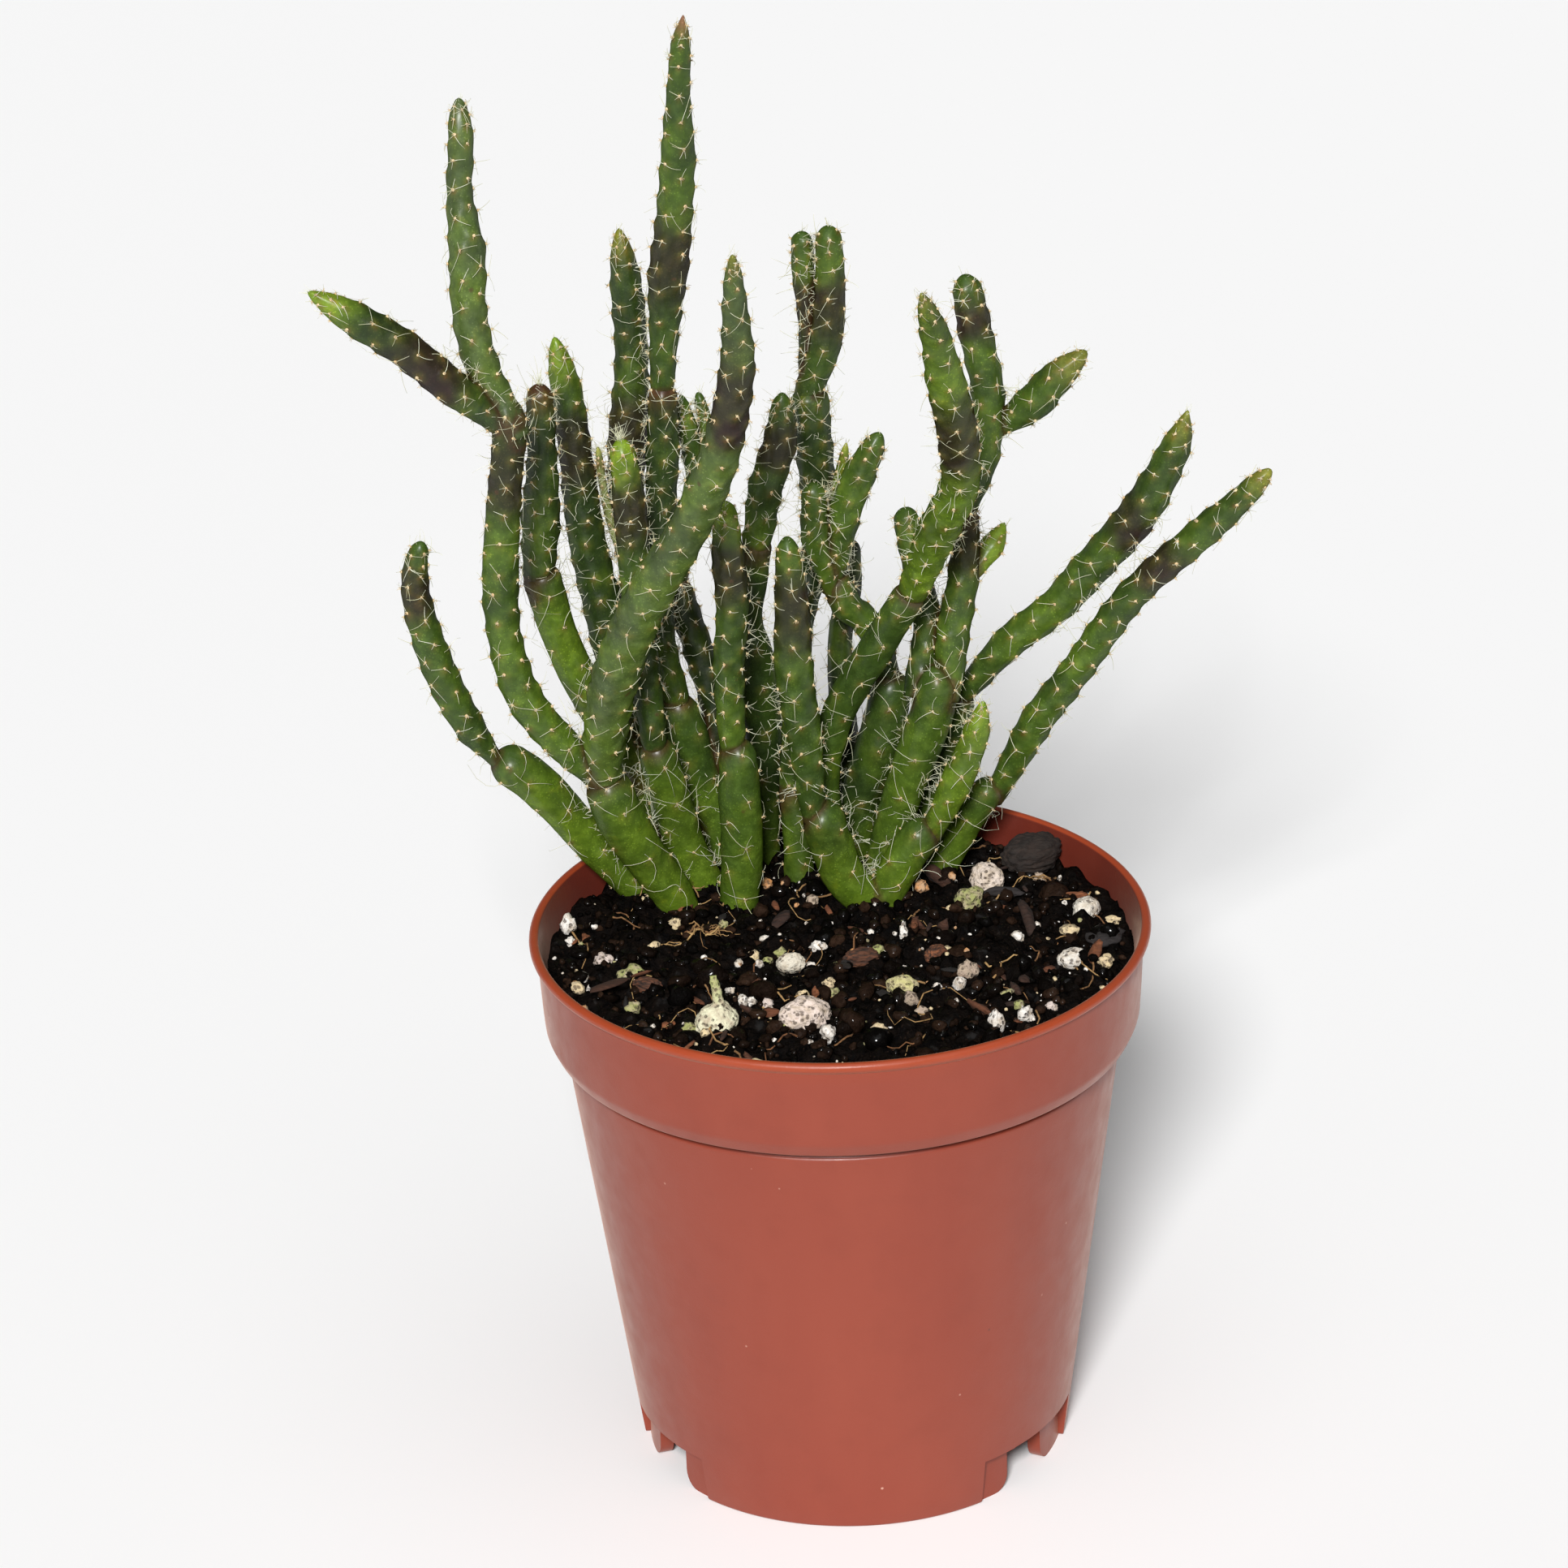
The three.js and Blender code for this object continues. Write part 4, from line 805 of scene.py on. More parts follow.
def make_pot():
    profile = fill_out(pot_profile()[1:-1], POT["step"])
    rings = [ring(r, z, POT["sides"]) for r, z in profile]
    points = np.concatenate(rings + [[(0, 0, POT["floor_under"])], [(0, 0, POT["floor_top"])]])
    faces = loft_faces(len(profile), POT["sides"])
    pot = new_piece("pot_fine", points, faces, pot_plastic(), "pot_plastic", ["pot"])
    for form in CUTS:
        cutter = foot_cutters(form).piece("cutter", pot.data.materials[0], "pot_plastic")
        cut = pot.modifiers.new("cut", "BOOLEAN")
        cut.operation = "DIFFERENCE"
        cut.solver = "EXACT"
        cut.object = cutter
        evaluated = pot.evaluated_get(bpy.context.evaluated_depsgraph_get())
        cut_mesh = bpy.data.meshes.new_from_object(evaluated)
        pot.modifiers.clear()
        pot.data = cut_mesh
        bpy.data.objects.remove(cutter)
    places = np.array([v.co for v in pot.data.vertices])
    paint(pot.data, pot_tint((places - AXIS) / MM))
    pot.data.polygons.foreach_set("use_smooth", np.ones(len(pot.data.polygons), bool))
    pot.data.set_sharp_from_angle(angle=math.radians(32))


# ---- the stems

def curve_places(knots, t):
    """Places at shares t of the knots on the centripetal Catmull-Rom curve through them."""
    ends = [2 * knots[0] - knots[1]], [2 * knots[-1] - knots[-2]]
    p = np.concatenate([ends[0], knots, ends[1]])
    place = t * (len(knots) - 1)
    i = np.minimum(place.astype(int), len(knots) - 2)
    w = (place - i)[:, None]
    p0, p1, p2, p3 = p[i], p[i + 1], p[i + 2], p[i + 3]
    d0 = np.sqrt(np.linalg.norm(p1 - p0, axis=1))[:, None]
    d1 = np.sqrt(np.linalg.norm(p2 - p1, axis=1))[:, None]
    d2 = np.sqrt(np.linalg.norm(p3 - p2, axis=1))[:, None]
    out = ((p1 - p0) / d0 - (p2 - p0) / (d0 + d1) + (p2 - p1) / d1) * d1
    into = ((p2 - p1) / d1 - (p3 - p1) / (d1 + d2) + (p3 - p2) / d2) * d1
    bend = (3 * (p2 - p1) - 2 * out - into) * w**2
    return p1 + out * w + bend + (2 * (p1 - p2) + out + into) * w**3


def between(start, end):
    """The turn from one angle to another, from -pi to pi."""
    return (end - start + np.pi) % (2 * np.pi) - np.pi


class Segment:
    """One jointed segment of a stem, as stations along its middle."""

    def __init__(self, stem, name, form, points, rng):
        self.stem, self.label = stem, f"{stem}.{name}"
        table = np.array(points, float)
        knots, radii = table[:, :3], table[:, 3]
        self.rooted = knots[0, 2] < SOIL_LINE
        if self.rooted:
            foot, narrower = np.array([*knots[0, :2], STEM["foot_height"]]), 0.9
        else:
            foot, narrower = knots[0] + unit(knots[0] - knots[1]) * STEM["sink"], 0.85
        knots = np.concatenate([[foot], knots])
        radii = np.concatenate([[radii[0] * narrower], radii])
        t = np.linspace(0, 1, 60 * len(knots))
        path = curve_places(knots, t)
        gone = np.concatenate([[0], np.cumsum(np.linalg.norm(np.diff(path, axis=0), axis=1))])
        self.length = gone[-1]
        self.tip = min(STEM["tip"][form] * radii[-2], self.length / 2)
        count = max(8, round((self.length - self.tip) / STEM["step"]))
        body = np.linspace(0, self.length - self.tip, count, endpoint=False)
        closing = self.length - self.tip * np.array(STEM["tip_stations"])
        self.s = np.concatenate([body, closing])
        at = np.interp(self.s, gone, t)
        self.centres = curve_places(knots, at)
        self.along = unit(curve_places(knots, np.minimum(at + 1e-3, 1))
                          - curve_places(knots, np.maximum(at - 1e-3, 0)))
        self.plain = np.interp(at * (len(knots) - 1), np.arange(len(knots)), radii)
        to_tip = np.minimum((self.length - self.s) / self.tip, 1)
        self.radii = self.plain * np.sqrt(np.maximum(1 - (1 - to_tip) ** 2, 0))
        self.start, self.end = knots[0], knots[-1]
        self.turn_frames()
        self.place_areoles(rng)

    def turn_frames(self):
        """Directions out of the stem that don't twist along it."""
        side = np.array([0.0, -1.0, 0.0])
        sides = []
        for along in self.along:
            side = side - along * side.dot(along)
            side = side / np.linalg.norm(side)
            sides.append(side)
        self.side = np.array(sides)
        self.across = np.cross(self.along, self.side)

    def place_areoles(self, rng):
        """Areoles in whorls of three that alternate, closer together near the tip."""
        pitch = AREOLE["old_pitch"] if self.rooted else AREOLE["pitch"]
        pitch *= 0.72 + 0.2 * float(np.median(self.plain))
        phase, drift = rng.uniform(0, 2 * np.pi), rng.normal(0, 0.02)
        marks, s, whorl = [], 1.0 if self.rooted else 2.2, 0
        while s < self.length - 0.45:
            for arm in range(3):
                angle = phase + drift * s + whorl * np.pi / 3 + arm * 2 * np.pi / 3
                marks.append((s + rng.normal(0, 0.13 * pitch), angle + rng.normal(0, 0.09)))
            s += pitch * np.clip((self.length - s) / 5, 0.4, 1)
            whorl += 1
        marks = np.array(marks)
        marks[:, 0] = np.clip(marks[:, 0], 0.3, self.length - 0.3)
        self.areoles = marks

    def swell(self, s, angle):
        """The surface's rise at each s and angle, from 0 between areoles to 1 on them."""
        total = np.zeros(np.broadcast(s, angle).shape)
        behind = AREOLE["old_rise_behind"] if self.rooted else AREOLE["rise_behind"]
        for mark, turn in self.areoles:
            ahead = s - mark
            reach = np.where(ahead > 0, AREOLE["rise_ahead"], behind)
            aside = between(turn, angle) / AREOLE["rise_aside"]
            total = np.maximum(total, np.exp(-(ahead / reach) ** 2 - aside**2))
        return total

    def surface(self, s, angle):
        """Places on the surface, with the directions out and along, and the radius there."""
        rise = STEM["old_podarium"] if self.rooted else STEM["podarium"]
        swell = 1 + rise * (self.swell(s, angle) - 0.35)
        centre, side, across = (np.stack([np.interp(s, self.s, c) for c in table.T], -1)
                                for table in (self.centres, self.side, self.across))
        side, across = unit(side), unit(across)
        out = side * np.cos(angle)[..., None] + across * np.sin(angle)[..., None]
        radius = np.interp(s, self.s, self.radii) * swell
        return centre + out * radius[..., None], out, np.cross(side, across), radius

    def body(self):
        """The segment's closed skin: points, faces and tints."""
        s, angle = np.meshgrid(self.s, turns_round(STEM["sides"]), indexing="ij")
        points, out, _, radius = self.surface(s, angle)
        flat = points.reshape(-1, 3)
        wobble = fractal(flat, 2.4, 3, seed=1) * 0.035 * radius.ravel()
        flat = flat + out.reshape(-1, 3) * wobble[:, None]
        tint = self.tint(s.ravel(), angle.ravel(), flat)
        points = np.concatenate([flat, [self.start], [self.end]])
        tint = np.concatenate([tint, tint[:1], tint[-1:]])
        return points, loft_faces(len(self.s), STEM["sides"]), tint

    def tint(self, s, angle, points):
        """The skin's colour: its green, band and tip, the bumps and a rust edge at each areole."""
        green, tip, *band = LOOKS.get(self.label, PLAIN_LOOK)
        share = s / self.length
        tint = np.broadcast_to(srgb(*GREENS[green]), (len(s), 3))
        patches = fractal(points, 6.5, 3, seed=2)
        tint = blend_tint(tint, GREENS["fresh"], 0.12 + 0.7 * patches)
        tint = blend_tint(tint, GREENS["dark"], 0.12 - 0.6 * patches)
        if self.rooted:
            tint = blend_tint(tint, GREENS["fresh"], (56 - points[:, 2]) / 16)
        if band:
            middle, half = (band[0] + band[1]) / 2, (band[1] - band[0]) / 2
            ragged = 0.04 * patches + 0.5 / self.length * fractal(points, 1.3, 2, seed=6)
            depth = np.exp(-((share - middle + ragged) / (1.15 * half)) ** 4)
            tint = blend_tint(tint, GREENS["purple"], depth * (0.85 + 0.3 * patches))
        open_end = 4.2 if tip == "lime" else 2.8
        open_end *= np.interp(self.length - self.tip, self.s, self.plain)
        near_tip = 1 - (self.length - s) / open_end
        tint = blend_tint(tint, GREENS[tip], near_tip * (1.1 + 0.4 * patches))
        tint = blend_tint(tint, GREENS["yellow"], 0.16 * self.swell(s, angle) ** 2)
        for mark, turn in self.areoles:
            aside = between(turn, angle)
            radius = np.interp(mark, self.s, self.radii)
            scale = ((s - mark + 0.22) / 0.2) ** 2 + (aside * radius / 0.2) ** 2
            tint = blend_tint(tint, GREENS["rust"], 0.6 * np.exp(-scale))
        return tint


def crease_shade_tint(tint, points, tree, owner):
    """Darkens the skin to brown where it meets another segment of the same stem: a dry brown line at
    each joint, and painted shade in the crease.
    """
    close = []
    for point in points:
        nearest = tree.find(point)
        close.append(nearest[2] - owner[nearest[1]] if nearest[1] is not None else 9.0)
    close = np.array(close)
    return blend_tint(tint, GREENS["brown"], 0.8 * np.exp(-(close / 0.32) ** 2))


def stations_tree(segments):
    """A tree of the middles of some segments, with the radius at each."""
    centres = np.concatenate([g.centres for g in segments])
    tree = KDTree(len(centres))
    for i, centre in enumerate(centres):
        tree.insert(centre, i)
    tree.balance()
    return tree, np.concatenate([g.radii for g in segments])


def crowding(others):
    """A test of whether a place on a segment faces one of the others closely."""
    tree, radii = stations_tree([g for g in others if g.length > 5])

    def crowded(place, out):
        _, index, distance = tree.find(place + out * 1.6)
        return distance < radii[index] + 1.1

    return crowded


def dome(sides=6):
    """A low closed dome of radius and height 1, along +Z."""
    rings = [ring(math.sqrt(1 - rise**2), rise, sides) for rise in (-0.35, 0.5)]
    return np.concatenate(rings + [[(0, 0, -0.5)], [(0, 0, 1)]]), loft_faces(2, sides)


def hair(lines, roots, tips, sides=3):
    """Fine tubes along lines of shape (count, stations, 3), that taper from root to tip."""
    count, stations, _ = lines.shape
    tangent = unit(np.gradient(lines, axis=1))
    helper = np.where(np.abs(tangent[:, :1, 2:]) > 0.8, [[[1.0, 0, 0]]], [[[0, 0, 1.0]]])
    side = unit(np.cross(tangent, np.broadcast_to(helper, tangent.shape)))
    across = np.cross(tangent, side)
    taper = np.linspace(0, 1, stations)[None, :]
    radius = (roots[:, None] * (1 - taper) + tips[:, None] * taper)[..., None, None]
    turn = turns_round(sides)[:, None]
    rim = side[..., None, :] * np.cos(turn) + across[..., None, :] * np.sin(turn)
    points = (lines[..., None, :] + rim * radius).reshape(-1, 3)
    starts = (np.arange(count) * stations * sides)[:, None, None]
    quads = (grid_faces(stations, sides)[None] + starts).reshape(-1, 4)
    ends = np.arange(count)[:, None] * stations * sides
    low = ends + np.arange(sides)[None, ::-1]
    high = ends + (stations - 1) * sides + np.arange(sides)[None]
    return points, [quads, np.concatenate([low, high])]


def bristle_lines(segment, crowded, rng, stations=5):
    """Where the segment's bristles run: most lie low over the skin, and some stand out.

    There are more of them, and they stand and curl more, where another stem is close. On the
    old segments at the soil they are long and curled.
    """
    lines = []
    places, outs, alongs, radii = segment.surface(*segment.areoles.T)
    for place, out, along, radius in zip(places, outs, alongs, radii):
        if place[2] < SOIL_LINE - 1 or radius < 0.15 or segment.label.endswith(".bud"):
            continue
        across = np.cross(along, out)
        close = crowded(place, out)
        count = rng.poisson(3.4 if close else 1.9) + 1
        vigour = rng.uniform(0.6, 1.1) * (1.5 if segment.rooted else 1.2 if close else 1)
        curl = 0.24 if segment.rooted else 0.2 if close else 0.1
        turns = rng.uniform(0, 2 * np.pi) + np.arange(count) * 2 * np.pi / count
        for turn in turns + rng.normal(0, 0.4, count):
            lifted = rng.uniform() < (0.55 if close else 0.2)
            rise = math.radians(rng.uniform(25, 75) if lifted else rng.uniform(4, 20))
            reach = rng.uniform(0.5, 1.8) * vigour * min(1.15, 0.6 + radius / 3)
            u = np.linspace(0, reach, stations)
            flat, lift = u * math.cos(rise), u * math.sin(rise) + 0.05
            sag = 0.05 * u**2 if lifted else 0.0
            bend = (flat * math.sin(turn) + rng.normal(0, curl) * u**2) / (radius + 0.3)
            height = (radius + lift - sag)[:, None]
            heading = out * np.cos(bend)[:, None] + across * np.sin(bend)[:, None]
            ahead = along * (flat * math.cos(turn) + rng.normal(0, curl) * u**2)[:, None]
            lines.append(place - out * radius + heading * height + ahead)
    return lines


def fleece_lines(segment, crowded, rng, stations=5):
    """Loose curved hairs where two stems are close."""
    count = int(13 * segment.length)
    s, angle = rng.uniform(1.0, segment.length - 0.5, count), rng.uniform(0, 2 * np.pi, count)
    places, outs, alongs, _ = segment.surface(s, angle)
    deep_in = np.interp(places[:, 1], [12, 19], [0, 1]) * np.interp(places[:, 2], [66, 76], [1, 0])
    shade = rng.uniform(0, 1, count) > 0.8 * deep_in
    first, last = FUZZY.get(segment.label, (2, 2))
    fuzzy = (s > first * segment.length) & (s < last * segment.length)
    fuzzy &= rng.uniform(0, 1, count) < 0.4
    kept = [own or (lit and place[2] > SOIL_LINE and crowded(place, out))
            for own, lit, place, out in zip(fuzzy, shade, places, outs)]
    places, outs, alongs = places[kept], outs[kept], alongs[kept]
    count = len(places)
    lean = alongs * rng.normal(0.1, 0.5, (count, 1))
    sweep = np.cross(alongs, outs) * rng.normal(0, 0.7, (count, 1))
    heads = unit(outs + lean + sweep)
    u = (np.linspace(0, 1, stations)[:, None] * rng.uniform(0.5, 1.8, count)).T[..., None]
    droop = rng.normal(0, 0.22, (count, 1, 3))
    return list(places[:, None] + heads[:, None] * u + droop * u**2)


def tuft_lines(segment, rng, stations=5):
    """A small tuft of bristles at the segment's open tip."""
    end, along = segment.end, segment.along[-1]
    count = TUFTS.get(segment.label, 7)
    lines = []
    for _ in range(count):
        spread = unit(along + rng.normal(0, 0.45, 3))
        reach = rng.uniform(0.4, 1.1) if count < 10 else rng.uniform(0.9, 2.1)
        u = np.linspace(0, reach, stations)[:, None]
        start = end - along * rng.uniform(0.1, 0.7) + rng.normal(0, 0.12, 3)
        lines.append(start + spread * u + rng.normal(0, 0.08, 3) * u**2)
    return lines


def inside_box(line):
    placed = line * MM + AXIS
    return np.all(placed > np.array(CAD_BOX[0])) and np.all(placed < np.array(CAD_BOX[1]))


def keeps_clear(line, tree, radii):
    """Whether a bristle stays outside the other stems."""
    for point in line[2:]:
        _, index, distance = tree.find(point)
        if distance < radii[index] * 1.05:
            return False
    return True


def felt_lines(places, outs, rng, each=6):
    """Short woolly hairs on the areoles."""
    count = len(places) * each
    roots = np.repeat(places, each, axis=0) + rng.normal(0, 0.07, (count, 3))
    heads = unit(np.repeat(outs, each, axis=0) + rng.normal(0, 0.6, (count, 3)))
    reach = rng.uniform(0.12, 0.26, (count, 1))
    return np.stack([roots, roots + heads * reach], 1)


def make_stems():
    rng = np.random.default_rng(11)
    segments = [Segment(stem, *row, np.random.default_rng([5, i, j]))
                for i, (stem, rows) in enumerate(STEMS.items())
                for j, row in enumerate(rows)]
    skin, felt, white = stem_skin(), areole_felt(), bristle_white()
    dome_points, dome_faces = dome()
    for stem in STEMS:
        own = [g for g in segments if g.stem == stem]
        others_tree, others_radii = stations_tree([g for g in segments if g.stem != stem])
        bodies, areoles, bristles = Gathered(), Gathered(), Gathered()
        lines, felts = [], []
        for segment in own:
            points, faces, tint = segment.body()
            rest = [g for g in own if g is not segment]
            if rest:
                tint = crease_shade_tint(tint, points, *stations_tree(rest))
            bodies.add(points, faces, tint)
            crowded = crowding([g for g in segments if g is not segment])
            lines += bristle_lines(segment, crowded, rng)
            lines += fleece_lines(segment, crowded, rng)
            lines += tuft_lines(segment, rng)
            places, outs, alongs, radii = segment.surface(*segment.areoles.T)
            felts.append(felt_lines(places + outs * 0.05, outs, rng))
            for place, out, along, radius in zip(places, outs, alongs, radii):
                across = np.cross(along, out)
                size = AREOLE["width"] * min(1, 0.45 + radius / 2.2) * rng.uniform(0.8, 1.2)
                size *= 0.75 if segment.rooted else 1
                axes = np.stack([across * size, along * size, out * AREOLE["height"]])
                areoles.add(dome_points @ axes + place, dome_faces)
        lines = [x for x in lines if inside_box(x) and keeps_clear(x, others_tree, others_radii)]
        roots = rng.uniform(0.02, 0.038, len(lines))
        bristles.add(*hair(np.array(lines), roots, roots * 0.5))
        felts = np.concatenate(felts)
        areoles.add(*hair(felts, np.full(len(felts), 0.035), np.full(len(felts), 0.015)))
        bodies.piece(f"{stem}_skin", skin, "stem_flesh", [f"stem_{stem}"])
        areoles.piece(f"{stem}_areoles", felt, "stem_flesh")
        bristles.piece(f"{stem}_bristles", white, "stem_flesh")
    return segments


# ---- soil, lumps and crumbs

def plain_soil(x, y):
    """The soil's height without its small roughness."""
    clods = 0.35 * np.sin(1.1 * x + 0.7 * y) + 0.3 * np.sin(0.8 * x - 1.3 * y + 2)
    crumbs = 0.2 * np.sin(2.3 * x + 1.9 * y + 1) * np.cos(1.7 * y - 0.6 * x)
    mound = 0.5 * np.exp(-((x + 4) ** 2 + (y - 14) ** 2) / 90)
    return SOIL["level"] + clods + crumbs + mound


def soil_top(x, y):
    """The soil's height, with clods and grains."""
    flat = np.stack([x, y, np.zeros_like(x)], -1).reshape(-1, 3)
    clods = fractal(flat, 2.2, 5, seed=3).reshape(np.shape(x))
    grains = np.abs(fractal(flat, 0.7, 3, seed=4)).reshape(np.shape(x))
    height = plain_soil(x, y) + SOIL["rough"] * clods - 0.35 * grains
    at_wall = np.clip((np.hypot(x, y) - 22) / 4, 0, 1)
    highest = SOIL["highest"] + 0.5 * (1 - at_wall)
    return np.minimum(height - 0.3 * at_wall, highest)


def make_soil():
    sides, rings = SOIL["sectors"], SOIL["rings"]
    turn = turns_round(sides)
    radius = SOIL["edge"] * (np.arange(1, rings + 1) / rings)
    x, y = radius[:, None] * np.cos(turn), radius[:, None] * np.sin(turn)
    points = [np.stack([x, y, soil_top(x, y)], -1).reshape(-1, 3)]
    for height in (POT["inner_step"][1] + 0.3, POT["seam"][1] - 0.3, SOIL["floor"]):
        points.append(ring(inner_radius(height) - 0.2, height, sides))
    middle = soil_top(np.zeros(1), np.zeros(1))[0]
    points = np.concatenate(points + [[(0, 0, middle)], [(0, 0, SOIL["floor"])]])
    faces = [each[:, ::-1] for each in loft_faces(rings + 3, sides)]
    new_piece("soil_bed", points, faces, soil_mix(), "soil_mix", ["soil"])


def spun(turn):
    """What rows of points are multiplied by to turn them about +Z, by some degrees."""
    angle = math.radians(turn)
    return np.array([[math.cos(angle), math.sin(angle), 0],
                     [-math.sin(angle), math.cos(angle), 0], [0, 0, 1]])


def make_lumps(foam, bark):
    """The named lumps: popped, pitted perlite and ridged bark."""
    unit_points, faces = ball(5)
    for i, (name, (centre, halves, turn, colour)) in enumerate(LUMPS.items()):
        is_perlite = name.startswith("perlite")
        grain = fractal(unit_points, 0.75, 4, seed=20 + i)
        pits = np.array([noise.voronoi(Vector(p) * 2.6 + Vector((i, 0, 0)))[0][0]
                         for p in unit_points])
        if is_perlite:
            swell = 0.93 + 0.13 * grain - 0.2 * np.exp(-(pits / 0.16) ** 2)
            # Darker in the pits and towards the bottom of the lump.
            darkening = 0.7 * np.exp(-(pits / 0.15) ** 2) + 0.5 * (-unit_points[:, 2] - 0.1)
        else:
            ridges = fractal(unit_points * (0.5, 2.5, 2.5), 0.5, 4, seed=40 + i)
            swell = 0.93 + 0.1 * grain + 0.1 * ridges
            # Darker in the furrows between the ridges.
            darkening = 0.5 - 0.9 * ridges
        points = (unit_points * swell[:, None] * halves) @ spun(turn) + centre
        tint = blend_tint(np.broadcast_to(srgb(*colour), points.shape), (46, 32, 24), darkening)
        lump = Gathered()
        lump.add(points, [faces], tint)
        if name == "perlite_left":
            lump.add(*perlite_spike(points))
        material, slot = (foam, "perlite") if is_perlite else (bark, "bark")
        lump.piece(f"{name}_fine", material, slot, [name])


def perlite_spike(lump_points):
    """The tapering stub that stands on the left lump, greenish at its end."""
    top = lump_points[lump_points[:, 2].argmax()]
    u = np.linspace(0, 1, 14)[:, None]
    path = top + np.array([[0.1, 0.3, -0.7]]) + u * np.array([[-0.5, 0.5, 3.0]])
    points, faces = hair(path[None], np.array([0.62]), np.array([0.3]), sides=16)
    points = points + fractal(points, 0.6, 3, seed=33)[:, None] * 0.1
    share = np.repeat(u[:, 0], 16)
    tint = np.broadcast_to(srgb(226, 222, 190), points.shape)
    return points, faces, blend_tint(tint, (176, 184, 112), share * 1.4)


def spot_within(reach, rng):
    """A random place up to reach mm from the axis."""
    radius, angle = reach * math.sqrt(rng.uniform()), rng.uniform(0, 2 * np.pi)
    return np.array([radius * math.cos(angle), radius * math.sin(angle)])


def free_spots(sizes, segments, rng):
    """Places on the soil for small pieces of these sizes, out of the stems' way."""
    feet = [g.centres[np.abs(g.centres[:, 2] - 48).argmin()] for g in segments if g.rooted]
    feet = np.array(feet)[:, :2]
    spots = []
    while len(spots) < len(sizes):
        size = sizes[len(spots)]
        spot = spot_within(SOIL["edge"] - 0.2 - size, rng)
        if np.min(np.linalg.norm(feet - spot, axis=1)) > 1.3 + size * 0.6:
            spots.append(spot)
    return np.array(spots)


def sizes_and_spots(kind, segments, rng):
    """Sizes and places for one kind of the scattered pieces."""
    middle, spread, count, least, most = SCATTERED[kind]
    sizes = np.clip(rng.lognormal(middle, spread, count), least, most)
    return sizes, free_spots(sizes, segments, rng)


def scatter(gathered, shape, spots, sizes, colours, flatness, rng, sunk=0.25):
    """Adds turned, uneven copies of a ball at places on the soil."""
    ball_points, ball_faces = shape
    heights = soil_top(spots[:, 0], spots[:, 1])
    for spot, size, height, colour in zip(spots, sizes, heights, colours):
        stretch = rng.uniform(0.7, 1.3, 3) * (1, 1, flatness) * size / 2
        uneven = 1 + rng.normal(0, 0.13, (len(ball_points), 1))
        tilt = Matrix.Rotation(rng.uniform(0, 6.3), 3, "Z") @ Matrix.Rotation(
            rng.normal(0, 0.6), 3, "X") @ Matrix.Rotation(rng.uniform(0, 6.3), 3, "Z")
        place = (*spot, height + size * flatness * (0.5 - sunk))
        points = (ball_points * uneven * stretch) @ np.array(tilt).T + place
        gathered.add(points, [ball_faces], colour)


def add_bit(gathered, row, colour, rng):
    """A lump of a soil bit's x, y and half sizes, turned by some degrees."""
    x, y, *halves, turn = row if len(row) > 3 else (*row, row[2], row[2] * 0.9, 0)
    points, faces = ball(3)
    rough = 0.85 + 0.45 * fractal(points, 0.9, 4, seed=rng.uniform(1, 90))
    height = soil_top(np.array([x]), np.array([y]))[0] + 0.35 * halves[2]
    points = (points * rough[:, None] * halves) @ spun(turn) + (x, y, height)
    gathered.add(points, [faces], colour)


def make_crumbs(segments, foam, bark):
    rng = np.random.default_rng(23)
    small, fine = ball(1), ball(2)

    dark = Gathered()
    sizes, spots = sizes_and_spots("crumbs", segments, rng)
    shades = rng.uniform(0, 1, len(sizes)) ** 3
    colours = shade_of((8, 6, 5), (54, 38, 28), shades[:, None])
    big = sizes > 0.75
    scatter(dark, small, spots[~big], sizes[~big], colours[~big], 0.8, rng)
    scatter(dark, fine, spots[big], sizes[big], colours[big], 0.7, rng)
    dark.piece("soil_crumbs", crumb_mix(), "soil_mix")

    grains, chips = Gathered(), Gathered()
    sizes, spots = sizes_and_spots("grains", segments, rng)
    paints = np.array([srgb(*BITS[kind][0]) for kind in ("white", "cream", "moss", "amber")])
    picks = rng.choice(4, len(sizes), p=[0.44, 0.28, 0.12, 0.16])
    scatter(grains, fine, spots, sizes, paints[picks], 0.85, rng, sunk=0.15)
    for kind, (colour, rows) in BITS.items():
        for row in rows:
            add_bit(chips if "bark" in kind else grains, row, srgb(*colour), rng)
    grains.piece("perlite_grains", foam, "perlite")

    sizes, spots = sizes_and_spots("chips", segments, rng)
    shades = rng.uniform(0, 1, (len(sizes), 1)) ** 2
    colours = shade_of((20, 14, 11), (128, 74, 42), shades)
    flat_ball = (fine[0] * (1.1, 0.5, 0.45), fine[1])
    scatter(chips, flat_ball, spots, sizes, colours, 0.6, rng, sunk=0.0)
    chips.piece("bark_chips", bark, "bark")

    fibres = Gathered()
    for i in range(FIBRES):
        start = spot_within(24.5, rng)
        if i < TUFT_FIBRES:
            start = start * 0.05 + ROOT_TUFT
        heading, curl = rng.uniform(0, 2 * np.pi), rng.normal(0, 0.35)
        steps = np.linspace(0, rng.uniform(2, 6) * (0.45 if i < TUFT_FIBRES else 1), 9)
        turns = heading + curl * steps
        path = start + np.stack([np.cos(turns), np.sin(turns)], -1) * steps[:, None]
        if np.max(np.hypot(*path.T)) > SOIL["edge"] - 0.4:
            continue
        lift = soil_top(path[:, 0], path[:, 1]) + 0.12 + rng.uniform(0, 0.5) * np.sin(steps)
        line = np.column_stack([path, np.maximum(lift, soil_top(*path.T) + 0.05)])
        width = rng.uniform(0.05, 0.13)
        points, faces = hair(line[None], np.array([width]), np.array([width * 0.5]), sides=5)
        fibres.add(points, faces, shade_of((120, 76, 42), (196, 160, 104), rng.uniform()))
    fibres.piece("loose_fibres", bark, "bark")


# ---- studio

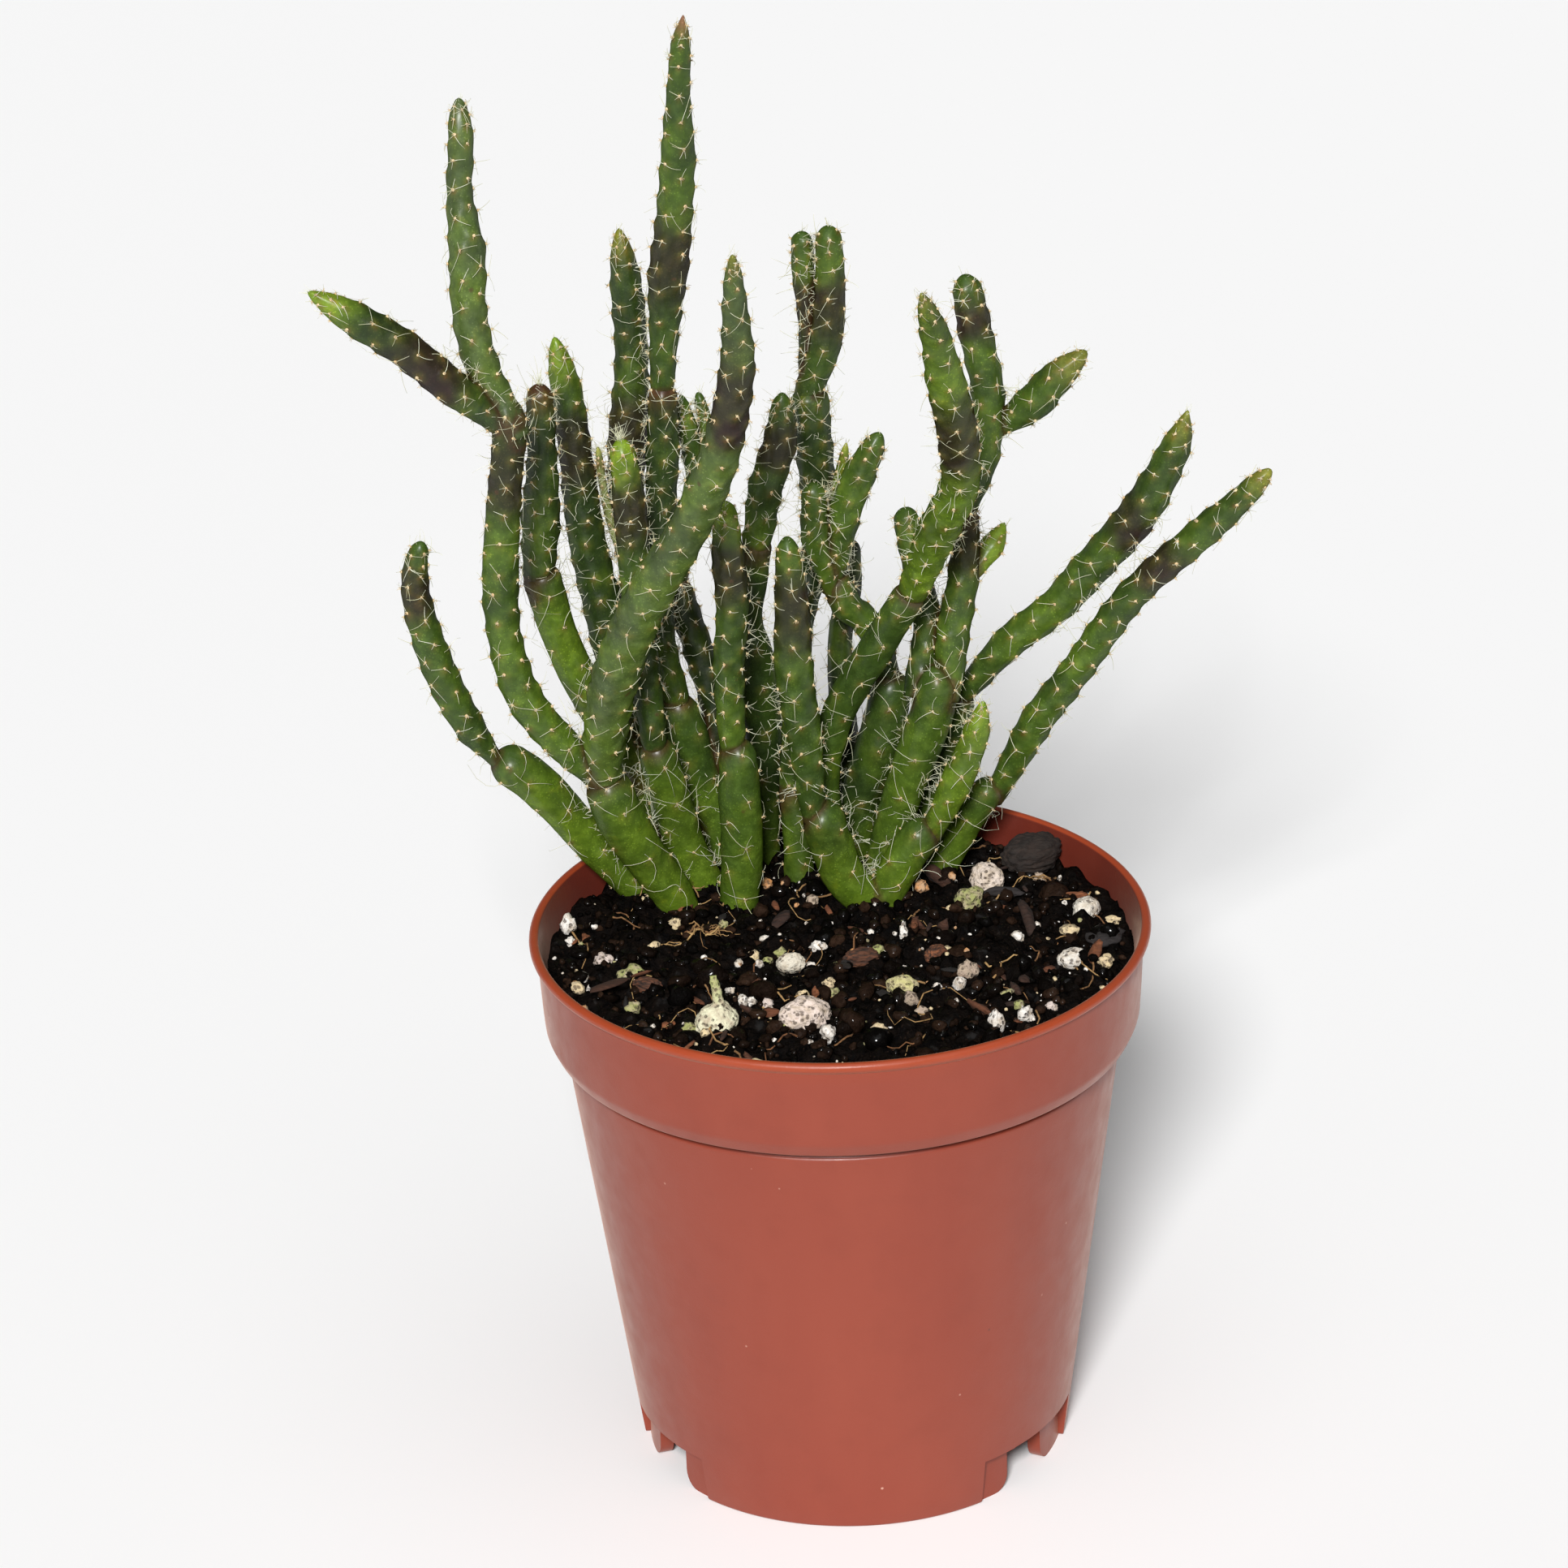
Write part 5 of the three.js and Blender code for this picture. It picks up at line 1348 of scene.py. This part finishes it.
def make_floor(size=3.0):
    mesh = bpy.data.meshes.new("studio_floor")
    corners = [(-size, -size, 0), (size, -size, 0), (size, size, 0), (-size, size, 0)]
    mesh.from_pydata(corners, [], [(0, 1, 2, 3)])
    mesh.materials.append(studio_white())
    floor = add_object("studio_floor", mesh)


def add_sun(name, azimuth, elevation, softness, strength):
    """Even light from far away; azimuth 0 is the front, and softness is its width in degrees."""
    data = bpy.data.lights.new(name, "SUN")
    data.angle = math.radians(softness)
    data.energy = strength
    light = add_object(name, data)
    side, height = math.radians(azimuth), math.radians(elevation)
    towards = Vector((math.sin(side) * math.cos(height), -math.cos(side) * math.cos(height),
                      math.sin(height)))
    light.rotation_euler = towards.to_track_quat("Z", "Y").to_euler()


def make_studio():
    make_floor()
    add_sun("key", -6, 34, 12, 3.95)
    add_sun("sky", 20, 75, 60, 0.65)
    world = bpy.data.worlds.new("studio")
    world.use_nodes = True
    background = world.node_tree.nodes["Background"]
    background.inputs["Color"].default_value = (1, 1, 1, 1)
    background.inputs["Strength"].default_value = 0.09
    bpy.context.scene.world = world
    bpy.context.scene.view_settings.view_transform = "Standard"


def make_camera():
    heading, dip, roll = CAMERA["heading"], CAMERA["dip"], CAMERA["roll"]
    ahead = Vector((math.sin(heading) * math.cos(dip), math.cos(heading) * math.cos(dip),
                    -math.sin(dip)))
    right = ahead.cross(Vector((0, 0, 1))).normalized()
    up = right.cross(ahead)
    tilted_right = right * math.cos(roll) + up * math.sin(roll)
    tilted_up = up * math.cos(roll) - right * math.sin(roll)
    data = bpy.data.cameras.new("camera")
    data.sensor_width = 36
    data.lens = CAMERA["lens"]
    data.clip_start, data.clip_end = 0.01, 20
    camera = add_object("camera", data)
    turn = Matrix((tilted_right, tilted_up, -ahead)).transposed().to_4x4()
    place = Vector(np.array(CAMERA["place"]) * MM + AXIS)
    camera.matrix_world = Matrix.Translation(place) @ turn
    bpy.context.scene.camera = camera


# ---- assembly

make_camera()
make_studio()
make_pot()
make_soil()
stem_segments = make_stems()
foam_material, bark_material = perlite_foam(), bark_fibre()
make_lumps(foam_material, bark_material)
make_crumbs(stem_segments, foam_material, bark_material)
